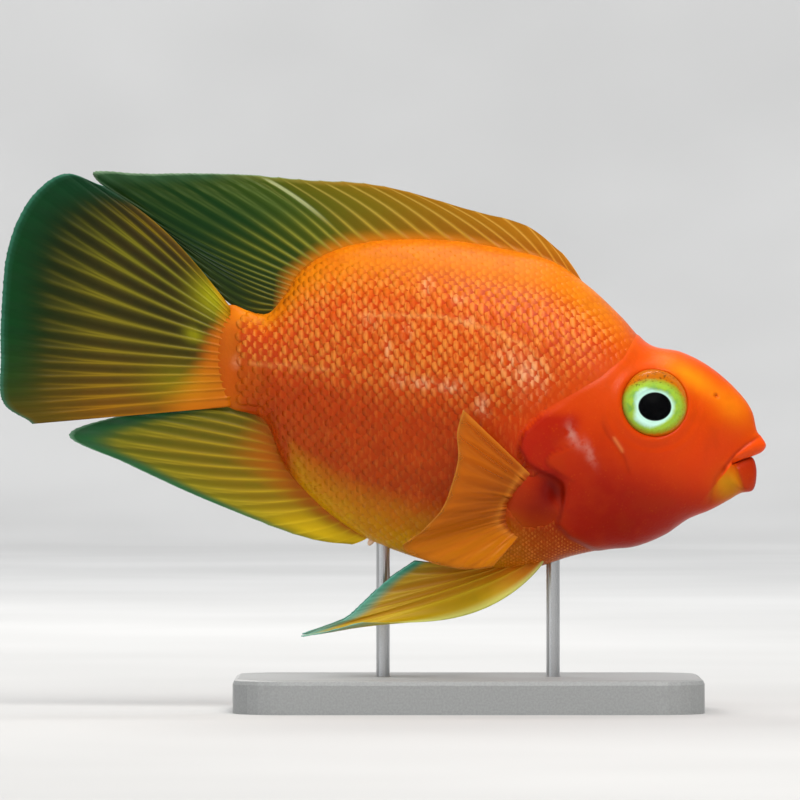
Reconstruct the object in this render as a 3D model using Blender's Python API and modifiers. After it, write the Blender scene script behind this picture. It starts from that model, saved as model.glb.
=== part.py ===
"""Blood parrot cichlid, life size, swimming level to +X over a plain display stand.

Metres, +Z up. The origin is on the floor, under the middle of the fish's length.
The fish is made from named girdle lines and fin ray lines, in millimetres of a fish
REFERENCE_LENGTH long, measured from the middle of its length and from its long axis.
"""

import math
from typing import NamedTuple

import bmesh
import bpy
import numpy as np
from mathutils import Matrix, Vector
from mathutils.bvhtree import BVHTree

TOTAL_LENGTH = 0.180
REFERENCE_LENGTH = 180.0
UNIT = TOTAL_LENGTH / REFERENCE_LENGTH
AXIS_HEIGHT = 0.073
GAP = 0.0003

BODY_SEGMENTS = 40
BODY_RINGS = 70
RIGHT, LEFT = -1.0, 1.0
FAR = 90.0


class Girdle(NamedTuple):
    """One closed line round the body, through its top, bottom and side points."""

    name: str
    top_x: float
    top_z: float
    low_x: float
    low_z: float
    side_x: float
    side_z: float
    half_width: float
    back_power: float
    share: float


# share says how far along the rings of the mesh this girdle lies, 0 at the mouth to 1.
GIRDLES = (
    Girdle("throat", 83.5, -14.6, 83.5, -14.6, 83.5, -14.6, 0.0, 1.0, 0.0),
    Girdle("mouth_wall", 84.9, -13.4, 84.7, -15.8, 82.6, -14.8, 1.2, 1.0, 0.03),
    Girdle("inner_lip", 88.0, -12.6, 86.6, -13.9, 81.4, -15.2, 3.2, 1.0, 0.06),
    Girdle("lip_crest", 90.1, -10.7, 87.9, -17.4, 81.9, -14.6, 4.9, 0.9, 0.10),
    Girdle("outer_lip", 89.1, -8.7, 87.1, -21.1, 80.9, -15.5, 5.8, 0.9, 0.13),
    Girdle("lip_crease", 88.0, -7.3, 84.2, -21.9, 79.3, -15.8, 6.1, 0.95, 0.16),
    Girdle("snout", 86.8, -2.6, 81.4, -23.5, 77.2, -14.4, 7.6, 0.95, 0.20),
    Girdle("muzzle", 83.1, 2.5, 76.9, -25.9, 73.9, -12.9, 10.1, 0.95, 0.25),
    Girdle("cheek", 77.1, 7.7, 71.8, -28.0, 69.2, -11.5, 12.5, 1.0, 0.30),
    Girdle("eye", 70.2, 11.3, 66.1, -31.8, 64.0, -9.9, 14.6, 1.0, 0.355),
    Girdle("nape", 62.4, 13.3, 59.1, -34.5, 57.4, -8.5, 16.5, 1.0, 0.41),
    Girdle("shoulder", 56.2, 19.8, 52.7, -35.2, 51.1, -7.1, 18.0, 1.1, 0.46),
    Girdle("gill", 48.7, 26.8, 44.5, -36.9, 43.3, -5.4, 18.7, 1.15, 0.51),
    Girdle("breast", 39.8, 32.9, 35.1, -39.8, 34.6, -3.5, 18.8, 1.2, 0.56),
    Girdle("belly", 28.7, 35.8, 25.2, -40.6, 25.2, -1.9, 18.5, 1.2, 0.61),
    Girdle("middle", 15.8, 37.8, 14.6, -39.1, 14.6, 0.0, 17.4, 1.2, 0.66),
    Girdle("flank", 5.2, 38.1, 5.2, -36.4, 5.2, 1.9, 15.8, 1.2, 0.70),
    Girdle("vent", -4.2, 37.4, -3.5, -32.9, -3.8, 3.5, 13.9, 1.2, 0.74),
    Girdle("anal", -12.5, 35.1, -11.3, -28.0, -11.8, 4.9, 11.8, 1.2, 0.78),
    Girdle("rump", -18.8, 31.1, -18.4, -21.6, -18.4, 6.4, 9.6, 1.15, 0.82),
    Girdle("stem_start", -23.1, 25.2, -23.8, -14.6, -23.5, 7.5, 7.8, 1.1, 0.86),
    Girdle("stem_front", -27.1, 20.6, -27.5, -5.6, -27.5, 8.2, 6.1, 1.0, 0.90),
    Girdle("stem_middle", -31.8, 21.4, -31.8, -3.4, -31.8, 8.9, 4.7, 1.0, 0.94),
    Girdle("stem_back", -35.5, 22.9, -35.5, -2.5, -35.5, 9.4, 3.4, 1.0, 0.97),
    Girdle("stem_end", -37.9, 22.8, -37.9, -1.9, -37.9, 9.9, 2.6, 1.0, 0.99),
    Girdle("tail_root", -38.8, 10.4, -38.8, 10.4, -38.8, 10.4, 0.0, 1.0, 1.0),
)


class Swelling(NamedTuple):
    """A soft rise or dip on both sides of the body, in millimetres."""

    name: str
    x: float
    z: float
    reach_x: float
    reach_z: float
    height: float


SWELLINGS = (
    Swelling("pectoral_base", 36.2, -24.5, 6.2, 6.2, 2.0),
    Swelling("axil", 40.6, -21.5, 2.2, 3.0, -1.8),
    Swelling("cheek", 55.0, -19.0, 9.0, 8.0, 0.9),
    Swelling("gill_flap", 38.5, -10.0, 7.0, 6.5, 0.8),
    Swelling("brow", 68.0, 7.0, 6.0, 2.5, 0.5),
)

EYE_X, EYE_Z = 63.4, -0.8
EYE_RADIUS = 8.1
EYE_SEGMENTS, EYE_RINGS = 24, 14
EYE_HALF_DEPTH = 4.0
EYE_SINK = 1.4
EYE_TURN_OUT = math.radians(14.0)
EYE_TILT_UP = math.radians(8.0)
SOCKET_RIM_RADIUS = 9.1
SOCKET_RIM_WIDTH = 1.5
SOCKET_RIM_HEIGHT = 0.7

NOSTRIL_X, NOSTRIL_Z = 78.1, 0.9
NOSTRIL_RADIUS = 0.75
NOSTRIL_DEPTH = 1.2

# The line that parts head from trunk: nape, gill cover's rear edge, throat.
HEAD_EDGE = (
    (60.5, 24.0), (54.5, 14.0), (48.5, 6.0), (41.0, -2.5), (34.5, -8.0), (32.4, -11.3),
    (34.2, -14.8), (38.5, -17.2), (41.7, -20.0), (41.6, -25.4), (41.6, -29.2),
    (44.5, -33.0), (50.0, -36.5), (52.0, -42.0),
)
# The front and top edge of the gill cover, from its upper rear corner down to the throat.
GILL_COVER_EDGE = (
    (36.0, 3.0), (42.5, 2.5), (48.0, -0.5), (51.8, -5.9), (54.4, -10.6), (56.4, -15.3),
    (57.8, -21.2), (60.2, -27.1), (62.5, -34.0),
)
GILL_COVER_INNER_Y = 7.0
# The lower jaw lies under and before this line: mouth gape, corner of the mouth, throat.
JAW_EDGE = ((96.0, -13.2), (86.6, -13.2), (81.4, -15.2), (77.4, -19.5), (75.0, -32.0))
STEM_X = -24.8
TAIL_X = -36.2


class RayLine(NamedTuple):
    """Where one fin ray starts and ends, seen from the side, in millimetres."""

    root_x: float
    root_z: float
    tip_x: float
    tip_z: float


DORSAL_RAYS = (
    RayLine(46.0, 29.0, 42.2, 34.6),
    RayLine(41.0, 31.5, 33.5, 41.2),
    RayLine(34.5, 34.0, 20.5, 44.8),
    RayLine(25.6, 36.2, 4.5, 49.4),
    RayLine(13.6, 37.8, -6.1, 51.3),
    RayLine(3.1, 38.1, -16.7, 51.8),
    RayLine(-6.1, 36.9, -26.6, 52.7),
    RayLine(-11.3, 35.5, -34.8, 53.2),
    RayLine(-16.0, 33.2, -45.4, 53.4),
    RayLine(-19.1, 30.8, -57.2, 53.4),
    RayLine(-21.2, 28.5, -68.5, 53.6),
    RayLine(-22.4, 26.4, -60.5, 47.5),
    RayLine(-23.3, 24.0, -51.8, 41.8),
    RayLine(-23.9, 22.1, -43.3, 33.0),
    RayLine(-24.2, 20.9, -37.2, 26.2),
)
CAUDAL_RAYS = (
    RayLine(-36.6, 22.6, -66.8, 51.0),
    RayLine(-36.6, 20.4, -75.5, 53.2),
    RayLine(-36.6, 17.4, -83.8, 46.6),
    RayLine(-36.6, 14.1, -88.6, 34.4),
    RayLine(-36.6, 10.4, -90.0, 19.0),
    RayLine(-36.6, 6.8, -90.0, 8.9),
    RayLine(-36.6, 3.2, -89.9, 0.5),
    RayLine(-36.6, -1.7, -85.4, -5.9),
)
ANAL_RAYS = (
    RayLine(-4.0, -32.5, -7.3, -34.0),
    RayLine(-7.3, -30.8, -14.8, -33.2),
    RayLine(-11.3, -28.2, -23.1, -30.9),
    RayLine(-15.3, -24.9, -33.6, -26.8),
    RayLine(-18.6, -21.6, -46.6, -21.4),
    RayLine(-21.6, -17.9, -60.7, -14.8),
    RayLine(-24.0, -14.6, -74.1, -8.5),
    RayLine(-25.7, -11.3, -63.8, -5.2),
    RayLine(-26.9, -8.5, -52.5, -4.0),
    RayLine(-27.6, -6.2, -39.2, -3.9),
)
PELVIC_RAYS = (
    RayLine(36.6, -39.6, -5.0, -52.0),
    RayLine(35.0, -40.0, -19.3, -55.4),
    RayLine(33.0, -40.3, -9.5, -51.6),
    RayLine(31.0, -40.5, -5.0, -47.8),
    RayLine(29.0, -40.5, -0.5, -43.6),
    RayLine(27.0, -40.4, 5.0, -39.8),
)
PECTORAL_RAYS = (
    RayLine(35.3, -17.9, 18.6, -2.1),
    RayLine(33.2, -19.1, 17.2, -7.5),
    RayLine(31.3, -20.5, 17.4, -13.6),
    RayLine(29.9, -22.4, 15.8, -20.0),
    RayLine(28.9, -24.2, 13.6, -25.4),
    RayLine(28.7, -26.1, 8.9, -30.6),
    RayLine(28.9, -28.0, 4.5, -34.4),
    RayLine(29.6, -29.6, 11.1, -37.9),
    RayLine(30.8, -31.1, 19.1, -39.5),
    RayLine(32.2, -32.0, 25.6, -39.1),
)


class FinForm(NamedTuple):
    """Counts and thicknesses of one fin; the thicknesses are in millimetres."""

    rays: int
    rows: int
    root_thickness: float
    ray_thickness: float
    web_thickness: float
    tip_thickness: float
    fairing: float


DORSAL_FORM = FinForm(28, 8, 1.8, 1.0, 0.55, 0.4, 0.12)
CAUDAL_FORM = FinForm(17, 9, 5.0, 1.1, 0.55, 0.4, 0.16)
ANAL_FORM = FinForm(16, 7, 1.6, 1.0, 0.55, 0.4, 0.12)
PELVIC_FORM = FinForm(6, 8, 1.8, 1.1, 0.6, 0.4, 0.2)
PECTORAL_FORM = FinForm(13, 8, 1.8, 0.95, 0.55, 0.4, 0.2)

DORSAL_SWAY = 3.5
CAUDAL_SWAY = -2.5
ANAL_SWAY = 2.5
SWAY_START_X = -20.0
SWAY_END_X = -88.0
PELVIC_ROOT_Y = 3.6
PELVIC_OUTER_SPREAD = 10.0
PELVIC_INNER_SPREAD = 3.0
# How far from the middle plane the tips of the breast fin's rays stand, from the top ray down.
PECTORAL_TIP_YS = (25.0, 25.6, 26.0, 26.0, 25.6, 24.6, 23.0, 21.0, 18.6, 16.2)
PECTORAL_OPENING = 1.6
ROOT_DEPTH = 1.1
PELVIC_BOW, FIN_BOW = 6.8, 0.5
# How far a ray's middle stands above a straight line, by its place across the fin: for
# dorsal and anal fin as a share of the ray's length, for the tail fin in millimetres.
DORSAL_BOWS = ((0.0, 0.5, 0.72, 0.9, 1.0), (0.05, 0.05, -0.04, -0.06, -0.1))
ANAL_BOWS = ((0.0, 1.0), (-0.05, -0.05))
CAUDAL_BOWS = ((0.0, 0.07, 0.14, 0.25, 0.4, 1.0), (3.4, 2.2, 1.0, -0.3, -0.8, 0.0))

BASE_LENGTH, BASE_WIDTH, BASE_HEIGHT = 0.110, 0.064, 0.008
BASE_CENTRE_X = 0.020
BASE_CORNER = 0.012
BASE_CHAMFER = 0.0012
ROD_RADIUS = 0.0016
ROD_XS = (0.040, 0.000)
ROD_SEAT_DEPTH = 0.0045
ROD_SIDES = 20

ORANGE = (0.85, 0.20, 0.02, 1.0)
FIN_AMBER = (0.80, 0.42, 0.06, 1.0)
EYE_GREEN = (0.45, 0.75, 0.18, 1.0)
BASE_GREY = (0.55, 0.55, 0.53, 1.0)
STEEL_GREY = (0.60, 0.61, 0.62, 1.0)


def clear_scene():
    """Removes whatever the file opened with."""
    for obj in list(bpy.data.objects):
        bpy.data.objects.remove(obj, do_unlink=True)


def new_collection(name):
    """An empty collection linked to the scene."""
    collection = bpy.data.collections.new(name)
    bpy.context.scene.collection.children.link(collection)
    return collection


def new_material(name, colour, roughness, metallic=0.0):
    """A Principled BSDF with one colour."""
    material = bpy.data.materials.new(name)
    material.use_nodes = True
    material.diffuse_color = colour
    shader = material.node_tree.nodes["Principled BSDF"]
    shader.inputs["Base Color"].default_value = colour
    shader.inputs["Roughness"].default_value = roughness
    shader.inputs["Metallic"].default_value = metallic
    return material


def new_object(name, mesh, collection, material=None):
    """An object with this mesh in this collection."""
    obj = bpy.data.objects.new(name, mesh)
    collection.objects.link(obj)
    if material and not mesh.materials:
        mesh.materials.append(material)
    return obj


def at(x, y, z):
    """A point of the fish, from its own millimetres to metres above the floor."""
    return Vector((x * UNIT, y * UNIT, z * UNIT + AXIS_HEIGHT))


def smooth_through(keys, values, wanted):
    """Values read at the wanted keys from a smooth curve through every given one."""
    keys = np.asarray(keys, float)
    values = np.asarray(values, float)
    wanted = np.clip(np.asarray(wanted, float), keys[0], keys[-1])
    steps = np.diff(keys)[:, None]
    chords = np.diff(values, axis=0) / steps
    slopes = np.empty_like(values)
    slopes[0], slopes[-1] = chords[0], chords[-1]
    slopes[1:-1] = (chords[:-1] * steps[1:] + chords[1:] * steps[:-1]) / (steps[:-1] + steps[1:])
    span = np.clip(np.searchsorted(keys, wanted, side="right") - 1, 0, len(keys) - 2)
    width = steps[span]
    t = (wanted[:, None] - keys[span][:, None]) / width
    return (
        values[span] * (1 + 2 * t) * (1 - t) ** 2
        + slopes[span] * width * t * (1 - t) ** 2
        + values[span + 1] * t * t * (3 - 2 * t)
        + slopes[span + 1] * width * t * t * (t - 1)
    )


def relief(x, z):
    """How far the swellings and the rim of the eye socket raise the side of the body."""
    height = np.zeros_like(x)
    for s in SWELLINGS:
        height += s.height * np.exp(-(((x - s.x) / s.reach_x) ** 2) - ((z - s.z) / s.reach_z) ** 2)
    from_eye = np.hypot(x - EYE_X, z - EYE_Z)
    height += SOCKET_RIM_HEIGHT * np.exp(-(((from_eye - SOCKET_RIM_RADIUS) / SOCKET_RIM_WIDTH) ** 2))
    return height


def body_points(share, angle):
    """Points of the skin, in the fish's millimetres.

    share runs from 0 at the mouth to 1 at the tail, and angle from 0 at the back round
    the left side to pi at the belly.
    """
    keys = [g.share for g in GIRDLES]
    values = [g[1:9] for g in GIRDLES]
    g = smooth_through(keys, values, share)
    top_x, top_z, low_x, low_z, side_x, side_z, half_width, back_power = g.T
    cosine, sine = np.cos(angle), np.sin(angle)
    middle_x, middle_z = (top_x + low_x) / 2, (top_z + low_z) / 2
    x = middle_x + (top_x - low_x) / 2 * cosine + (side_x - middle_x) * sine**2
    z = middle_z + (top_z - low_z) / 2 * cosine + (side_z - middle_z) * sine**2
    power = 0.9 + (back_power - 0.9) * (1 + cosine) / 2
    reach = np.abs(sine) ** power
    y = np.sign(sine) * (half_width * reach + relief(x, z) * np.minimum(1.0, reach * half_width / 6.0))
    return np.stack([x, y, z], axis=1)


def make_body_mesh():
    """The whole body as one closed skin, from a ball whose poles are mouth and tail."""
    mesh = bpy.data.meshes.new("body")
    ball = bmesh.new()
    bmesh.ops.create_uvsphere(ball, u_segments=BODY_SEGMENTS, v_segments=BODY_RINGS, radius=1.0)
    corners = np.array([v.co for v in ball.verts])
    share = np.arccos(np.clip(corners[:, 2], -1, 1)) / math.pi
    angle = np.arctan2(corners[:, 1], corners[:, 0])
    for vertex, point in zip(ball.verts, body_points(share, angle)):
        vertex.co = at(*point)
    if ball.calc_volume(signed=True) < 0:
        bmesh.ops.reverse_faces(ball, faces=ball.faces)
    ball.to_mesh(mesh)
    ball.free()
    mesh.shade_smooth()
    return mesh


def grown(mesh, by):
    """A copy of a closed mesh whose surface stands further out."""
    copy = mesh.copy()
    for vertex, normal in zip(copy.vertices, [v.normal.copy() for v in mesh.vertices]):
        vertex.co = vertex.co + normal * by
    return copy


class Skin:
    """Finds points on the finished body."""

    def __init__(self, mesh):
        shape = bmesh.new()
        shape.from_mesh(mesh)
        self.tree = BVHTree.FromBMesh(shape)
        shape.free()

    def side(self, x, z, side):
        """The skin's point and outward normal at this side view place, on this side."""
        start = at(x, side * FAR, z)
        point, normal, _, _ = self.tree.ray_cast(start, Vector((0.0, -side, 0.0)))
        if point is None:
            point, normal, _, _ = self.tree.find_nearest(start)
        return point, normal

    def under(self, tip, root):
        """The point under the skin where a ray that runs from tip to root ends."""
        along = (root - tip).normalized()
        point, _, _, _ = self.tree.ray_cast(tip, along)
        return point + along * ROOT_DEPTH * UNIT

    def edge(self, x, y, upward):
        """The skin's highest or lowest point at this place, seen from above or below."""
        start = at(x, y, FAR * upward)
        point, normal, _, _ = self.tree.ray_cast(start, Vector((0.0, 0.0, -upward)))
        return point, normal


def flat_outline(name, points, low_y, high_y, cutters):
    """A closed mesh with this side view outline, from low_y to high_y; all millimetres."""
    curve = bpy.data.curves.new(name, "CURVE")
    curve.dimensions = "2D"
    curve.fill_mode = "BOTH"
    curve.extrude = (high_y - low_y) / 2 * UNIT
    spline = curve.splines.new("POLY")
    spline.points.add(len(points) - 1)
    for slot, (x, z) in zip(spline.points, points):
        slot.co = (x * UNIT, z * UNIT, 0.0, 1.0)
    spline.use_cyclic_u = True
    drawn = new_object(name + "_curve", curve, cutters)
    drawn.rotation_euler = (math.pi / 2, 0.0, 0.0)
    drawn.location = (0.0, (low_y + high_y) / 2 * UNIT, AXIS_HEIGHT)
    bpy.context.view_layer.update()
    graph = bpy.context.evaluated_depsgraph_get()
    mesh = bpy.data.meshes.new_from_object(drawn.evaluated_get(graph))
    welded = bmesh.new()
    welded.from_mesh(mesh)
    bmesh.ops.remove_doubles(welded, verts=welded.verts, dist=1e-6)
    bmesh.ops.recalc_face_normals(welded, faces=welded.faces)
    welded.to_mesh(mesh)
    welded.free()
    cutter = new_object(name, mesh, cutters)
    cutter.matrix_world = drawn.matrix_world.copy()
    bpy.data.objects.remove(drawn)
    return hide(cutter)


def hide(cutter):
    """Marks an object as a cutter."""
    cutter.hide_render = True
    cutter.display_type = "WIRE"
    return cutter


def cut(piece, cutter, operation):
    """Adds an exact Boolean to the piece."""
    modifier = piece.modifiers.new(operation.lower(), "BOOLEAN")
    modifier.operation = operation
    modifier.object = cutter
    modifier.solver = "EXACT"


def shifted(line, dx, dz=0.0):
    """The same side view line, moved."""
    return [(x + dx, z + dz) for x, z in line]


def egg(name, centre, radii, turn, collection, material=None):
    """A ball of three radii in metres, turned about the vertical and tipped up."""
    mesh = bpy.data.meshes.new(name)
    ball = bmesh.new()
    bmesh.ops.create_uvsphere(ball, u_segments=EYE_SEGMENTS, v_segments=EYE_RINGS, radius=1.0)
    bmesh.ops.scale(ball, vec=radii, verts=ball.verts)
    ball.to_mesh(mesh)
    ball.free()
    mesh.shade_smooth()
    obj = new_object(name, mesh, collection, material)
    obj.location = centre
    obj.rotation_euler = turn
    return obj


def make_eye(skin, side, name, parts, cutters, material):
    """One flattened eyeball and the cutter of its socket, which is a gap larger."""
    point, _ = skin.side(EYE_X, EYE_Z, side)
    centre = point - Vector((0.0, side * EYE_SINK * UNIT, 0.0))
    turn = (side * (math.pi / 2 - EYE_TILT_UP) * -1, 0.0, -side * EYE_TURN_OUT)
    radii = Vector((EYE_RADIUS, EYE_RADIUS, EYE_HALF_DEPTH)) * UNIT
    egg(name, centre, radii, turn, parts, material)
    room = radii + Vector((GAP, GAP, GAP))
    return hide(egg(name + "_socket", centre, room, turn, cutters))


def make_nostril(skin, side, cutters):
    """The cutter of one nostril: a small round pit."""
    point, normal = skin.side(NOSTRIL_X, NOSTRIL_Z, side)
    mesh = bpy.data.meshes.new("nostril")
    pit = bmesh.new()
    bmesh.ops.create_cone(
        pit, cap_ends=True, segments=10, radius1=NOSTRIL_RADIUS * UNIT * 0.6,
        radius2=NOSTRIL_RADIUS * UNIT, depth=2 * NOSTRIL_DEPTH * UNIT,
    )
    pit.to_mesh(mesh)
    pit.free()
    cutter = new_object("nostril", mesh, cutters)
    cutter.location = point
    cutter.rotation_euler = normal.to_track_quat("Z", "Y").to_euler()
    return hide(cutter)


def fin_slab(name, form, place, parts, material):
    """One fin: a grid of ray and web columns, thickened evenly to both sides.

    place(u, v) gives the middle surface in metres, with u along the root from 0 to 1
    and v from the root at 0 to the tips at 1.
    """
    columns = 2 * (form.rays - 1)
    sheet = bmesh.new()
    bmesh.ops.create_grid(sheet, x_segments=columns, y_segments=form.rows, size=0.5)
    places = [(v.co.x + 0.5, v.co.y + 0.5) for v in sheet.verts]
    for vertex, (u, v) in zip(sheet.verts, places):
        vertex.co = place(u, v)
    bmesh.ops.triangulate(sheet, faces=sheet.faces, quad_method="FIXED")
    mesh = bpy.data.meshes.new(name)
    sheet.to_mesh(mesh)
    sheet.free()
    mesh.shade_smooth()
    obj = new_object(name, mesh, parts, material)
    thickest = max(form.root_thickness, form.ray_thickness)
    group = obj.vertex_groups.new(name="thickness")
    for index, (u, v) in enumerate(places):
        group.add([index], fin_thickness(form, u, v) / thickest, "REPLACE")
    solid = obj.modifiers.new("thickness", "SOLIDIFY")
    solid.thickness = thickest * UNIT
    solid.offset = 0.0
    solid.use_even_offset = False
    solid.vertex_group = group.name
    solid.thickness_vertex_group = 0.0
    return obj


def fin_thickness(form, u, v):
    """Thickness of a fin in millimetres: high on a ray, low on the web between two."""
    on_ray = round(u * 2 * (form.rays - 1)) % 2 == 0
    body = form.ray_thickness if on_ray else form.web_thickness
    thickness = body + (form.tip_thickness - body) * v**1.5
    fairing = max(0.0, 1 - v / form.fairing) ** 2
    rounding = math.sqrt(max(0.0, 1 - (2 * u - 1) ** 6))
    return thickness + (form.root_thickness - thickness) * fairing * (0.35 + 0.65 * rounding)


def ray_reader(lines):
    """A function of u that reads the ray lines smoothly as root and tip."""
    keys = np.linspace(0.0, 1.0, len(lines))

    def read(u):
        return smooth_through(keys, lines, [u])[0]

    return read


def sway(x, amount):
    """Sideways bend of an unpaired fin, which grows towards the tail."""
    share = min(1.0, max(0.0, (SWAY_START_X - x) / (SWAY_START_X - SWAY_END_X)))
    return amount * share**1.6


def make_ridge_fin(name, form, lines, skin, bows, amount, parts, material):
    """The dorsal or anal fin, whose root follows the ridge of the body."""
    read = ray_reader(lines)

    def place(u, v):
        root_x, root_z, tip_x, tip_z = read(u)
        tip = at(tip_x, 0.0, tip_z)
        root = skin.under(tip, at(root_x, 0.0, root_z))
        point = root.lerp(tip, v)
        point.z += float(np.interp(u, *bows)) * (tip - root).length * math.sin(math.pi * v)
        point.y = sway((point.x) / UNIT, amount) * UNIT * v
        return point

    return fin_slab(name, form, place, parts, material)


def make_caudal_fin(parts, material):
    """The tail fin, which fans out from the end of the stem."""
    read = ray_reader(CAUDAL_RAYS)

    def place(u, v):
        root_x, root_z, tip_x, tip_z = read(u)
        point = at(root_x, 0.0, root_z).lerp(at(tip_x, 0.0, tip_z), v)
        point.z += float(np.interp(u, *CAUDAL_BOWS)) * UNIT * math.sin(math.pi * v)
        point.y = sway(point.x / UNIT, CAUDAL_SWAY) * UNIT
        return point

    return fin_slab("caudal_fin", CAUDAL_FORM, place, parts, material)


def make_pectoral_fin(skin, side, name, parts, material):
    """One breast fin, which spreads back from its base, clear of the flank."""
    read = ray_reader(PECTORAL_RAYS)
    tip_y = np.linspace(0.0, 1.0, len(PECTORAL_TIP_YS))

    def place(u, v):
        root_x, root_z, tip_x, tip_z = read(u)
        foot, normal = skin.side(root_x, root_z, side)
        root = foot - normal * ROOT_DEPTH * UNIT
        tip = at(tip_x, side * float(np.interp(u, tip_y, PECTORAL_TIP_YS)), tip_z)
        point = root.lerp(tip, v)
        point.y = root.y + (tip.y - root.y) * (1 - (1 - v) ** PECTORAL_OPENING)
        return point

    return fin_slab(name, PECTORAL_FORM, place, parts, material)


def make_pelvic_fin(skin, side, name, parts, material):
    """One belly fin, which trails back and down from the breast."""
    read = ray_reader(PELVIC_RAYS)

    def place(u, v):
        root_x, root_z, tip_x, tip_z = read(u)
        root_y = PELVIC_ROOT_Y + 1.6 * (1 - u)
        foot, normal = skin.edge(root_x, side * root_y, -1.0)
        root = foot - normal * ROOT_DEPTH * UNIT
        spread = PELVIC_INNER_SPREAD + (PELVIC_OUTER_SPREAD - PELVIC_INNER_SPREAD) * (1 - u) ** 1.4
        tip = at(tip_x, side * (root_y + spread), tip_z)
        point = root.lerp(tip, v)
        point.z -= PELVIC_BOW * UNIT * math.sin(math.pi * v**0.7) * (1 - u) ** 5
        point.z -= FIN_BOW * UNIT * math.sin(math.pi * v)
        return point

    return fin_slab(name, PELVIC_FORM, place, parts, material)


def make_stand(skin, parts, cutters, base_material, rod_material):
    """The flat base, its two rods, and the cutters of the seats the rods stand in."""
    bpy.ops.mesh.primitive_cube_add(size=1.0, location=(BASE_CENTRE_X, 0.0, BASE_HEIGHT / 2))
    base = bpy.context.object
    base.name = "stand_base"
    base.data.name = "stand_base"
    base.data.transform(Matrix.Diagonal((BASE_LENGTH, BASE_WIDTH, BASE_HEIGHT, 1.0)))
    for collection in list(base.users_collection):
        collection.objects.unlink(base)
    parts.objects.link(base)
    base.data.materials.append(base_material)
    round_base(base.data)
    seats = []
    for number, x in enumerate(ROD_XS):
        foot, _ = skin.edge(x / UNIT, 0.0, -1.0)
        low, high = BASE_HEIGHT - ROD_SEAT_DEPTH, foot.z + ROD_SEAT_DEPTH
        rod = upright("stand_rod_" + ("front", "rear")[number], x, low, high, ROD_RADIUS, parts)
        rod.data.materials.append(rod_material)
        seat = upright("seat", x, low - GAP, high + GAP, ROD_RADIUS + GAP, cutters)
        cut(base, hide(seat), "DIFFERENCE")
        seats.append(seat)
    return seats


def round_base(mesh):
    """Rounds the corners of the base plate, then chamfers its top edge."""
    plate = bmesh.new()
    plate.from_mesh(mesh)
    uprights = [e for e in plate.edges if abs(e.verts[0].co.z - e.verts[1].co.z) > BASE_HEIGHT / 2]
    bmesh.ops.bevel(plate, geom=uprights, offset=BASE_CORNER, segments=6, profile=0.5, affect="EDGES")
    top = [e for e in plate.edges if min(v.co.z for v in e.verts) > BASE_HEIGHT * 0.49]
    bmesh.ops.bevel(plate, geom=top, offset=BASE_CHAMFER, segments=2, profile=0.5, affect="EDGES")
    plate.to_mesh(mesh)
    plate.free()


def upright(name, x, low_z, high_z, radius, collection):
    """A plain upright cylinder in the middle plane."""
    mesh = bpy.data.meshes.new(name)
    rod = bmesh.new()
    bmesh.ops.create_cone(
        rod, cap_ends=True, segments=ROD_SIDES, radius1=radius, radius2=radius, depth=high_z - low_z
    )
    rod.to_mesh(mesh)
    rod.free()
    obj = new_object(name, mesh, collection)
    obj.location = (x, 0.0, (low_z + high_z) / 2)
    return obj


def part_body(whole, skin, seats, sockets, parts, cutters, flesh):
    """Parts the body into head, lower jaw, gill covers, trunk and tail stem."""
    half_gap = GAP / UNIT / 2
    far_front, far_back, high, low = 110.0, -60.0, 70.0, -70.0
    wide = 40.0

    head_line = shifted(HEAD_EDGE, half_gap)
    head_area = [(head_line[0][0], high), *head_line, (head_line[-1][0], low), (far_front, low), (far_front, high)]
    head_cutter = flat_outline("head_area", head_area, -wide, wide, cutters)

    trunk_line = shifted(HEAD_EDGE, -half_gap)
    trunk_area = [
        (trunk_line[0][0], high), *trunk_line, (trunk_line[-1][0], low),
        (STEM_X + half_gap, low), (STEM_X + half_gap, high),
    ]
    trunk_cutter = flat_outline("trunk_area", trunk_area, -wide, wide, cutters)

    stem_area = [(STEM_X - half_gap, low), (TAIL_X, low), (TAIL_X, high), (STEM_X - half_gap, high)]
    stem_cutter = flat_outline("stem_area", stem_area, -wide, wide, cutters)

    def jaw_area(shift):
        line = shifted(JAW_EDGE, shift, -shift)
        return [*line, (line[-1][0], low), (far_front, low), (far_front, line[0][1])]

    jaw_cutter = flat_outline("jaw_area", jaw_area(half_gap), -wide, wide, cutters)
    jaw_room = flat_outline("jaw_room", jaw_area(-half_gap), -wide, wide, cutters)

    head = new_object("head", whole.copy(), parts, flesh)
    cut(head, head_cutter, "INTERSECT")
    cut(head, jaw_room, "DIFFERENCE")
    jaw = new_object("lower_jaw", whole.copy(), parts, flesh)
    cut(jaw, jaw_cutter, "INTERSECT")

    def cover_area(shift):
        line = shifted(GILL_COVER_EDGE, -shift, -shift)
        return [*line, (line[-1][0], -50.0), (far_back, -50.0), (far_back, line[0][1])]

    for side, word in ((RIGHT, "right"), (LEFT, "left")):
        inner = GILL_COVER_INNER_Y
        near, far = sorted((side * (inner + half_gap), side * wide))
        cover = flat_outline("cover_area_" + word, cover_area(half_gap), near, far, cutters)
        near, far = sorted((side * (inner - half_gap), side * wide))
        room = flat_outline("cover_room_" + word, cover_area(-half_gap), near, far, cutters)
        cut(head, room, "DIFFERENCE")
        gill = new_object("gill_cover_" + word, whole.copy(), parts, flesh)
        cut(gill, head_cutter, "INTERSECT")
        cut(gill, cover, "INTERSECT")
        cut(head, make_nostril(skin, side, cutters), "DIFFERENCE")
    for socket in sockets:
        cut(head, socket, "DIFFERENCE")

    trunk = new_object("trunk", whole.copy(), parts, flesh)
    cut(trunk, trunk_cutter, "INTERSECT")
    for seat in seats:
        cut(trunk, seat, "DIFFERENCE")
    stem = new_object("tail_stem", whole.copy(), parts, flesh)
    cut(stem, stem_cutter, "INTERSECT")


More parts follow.
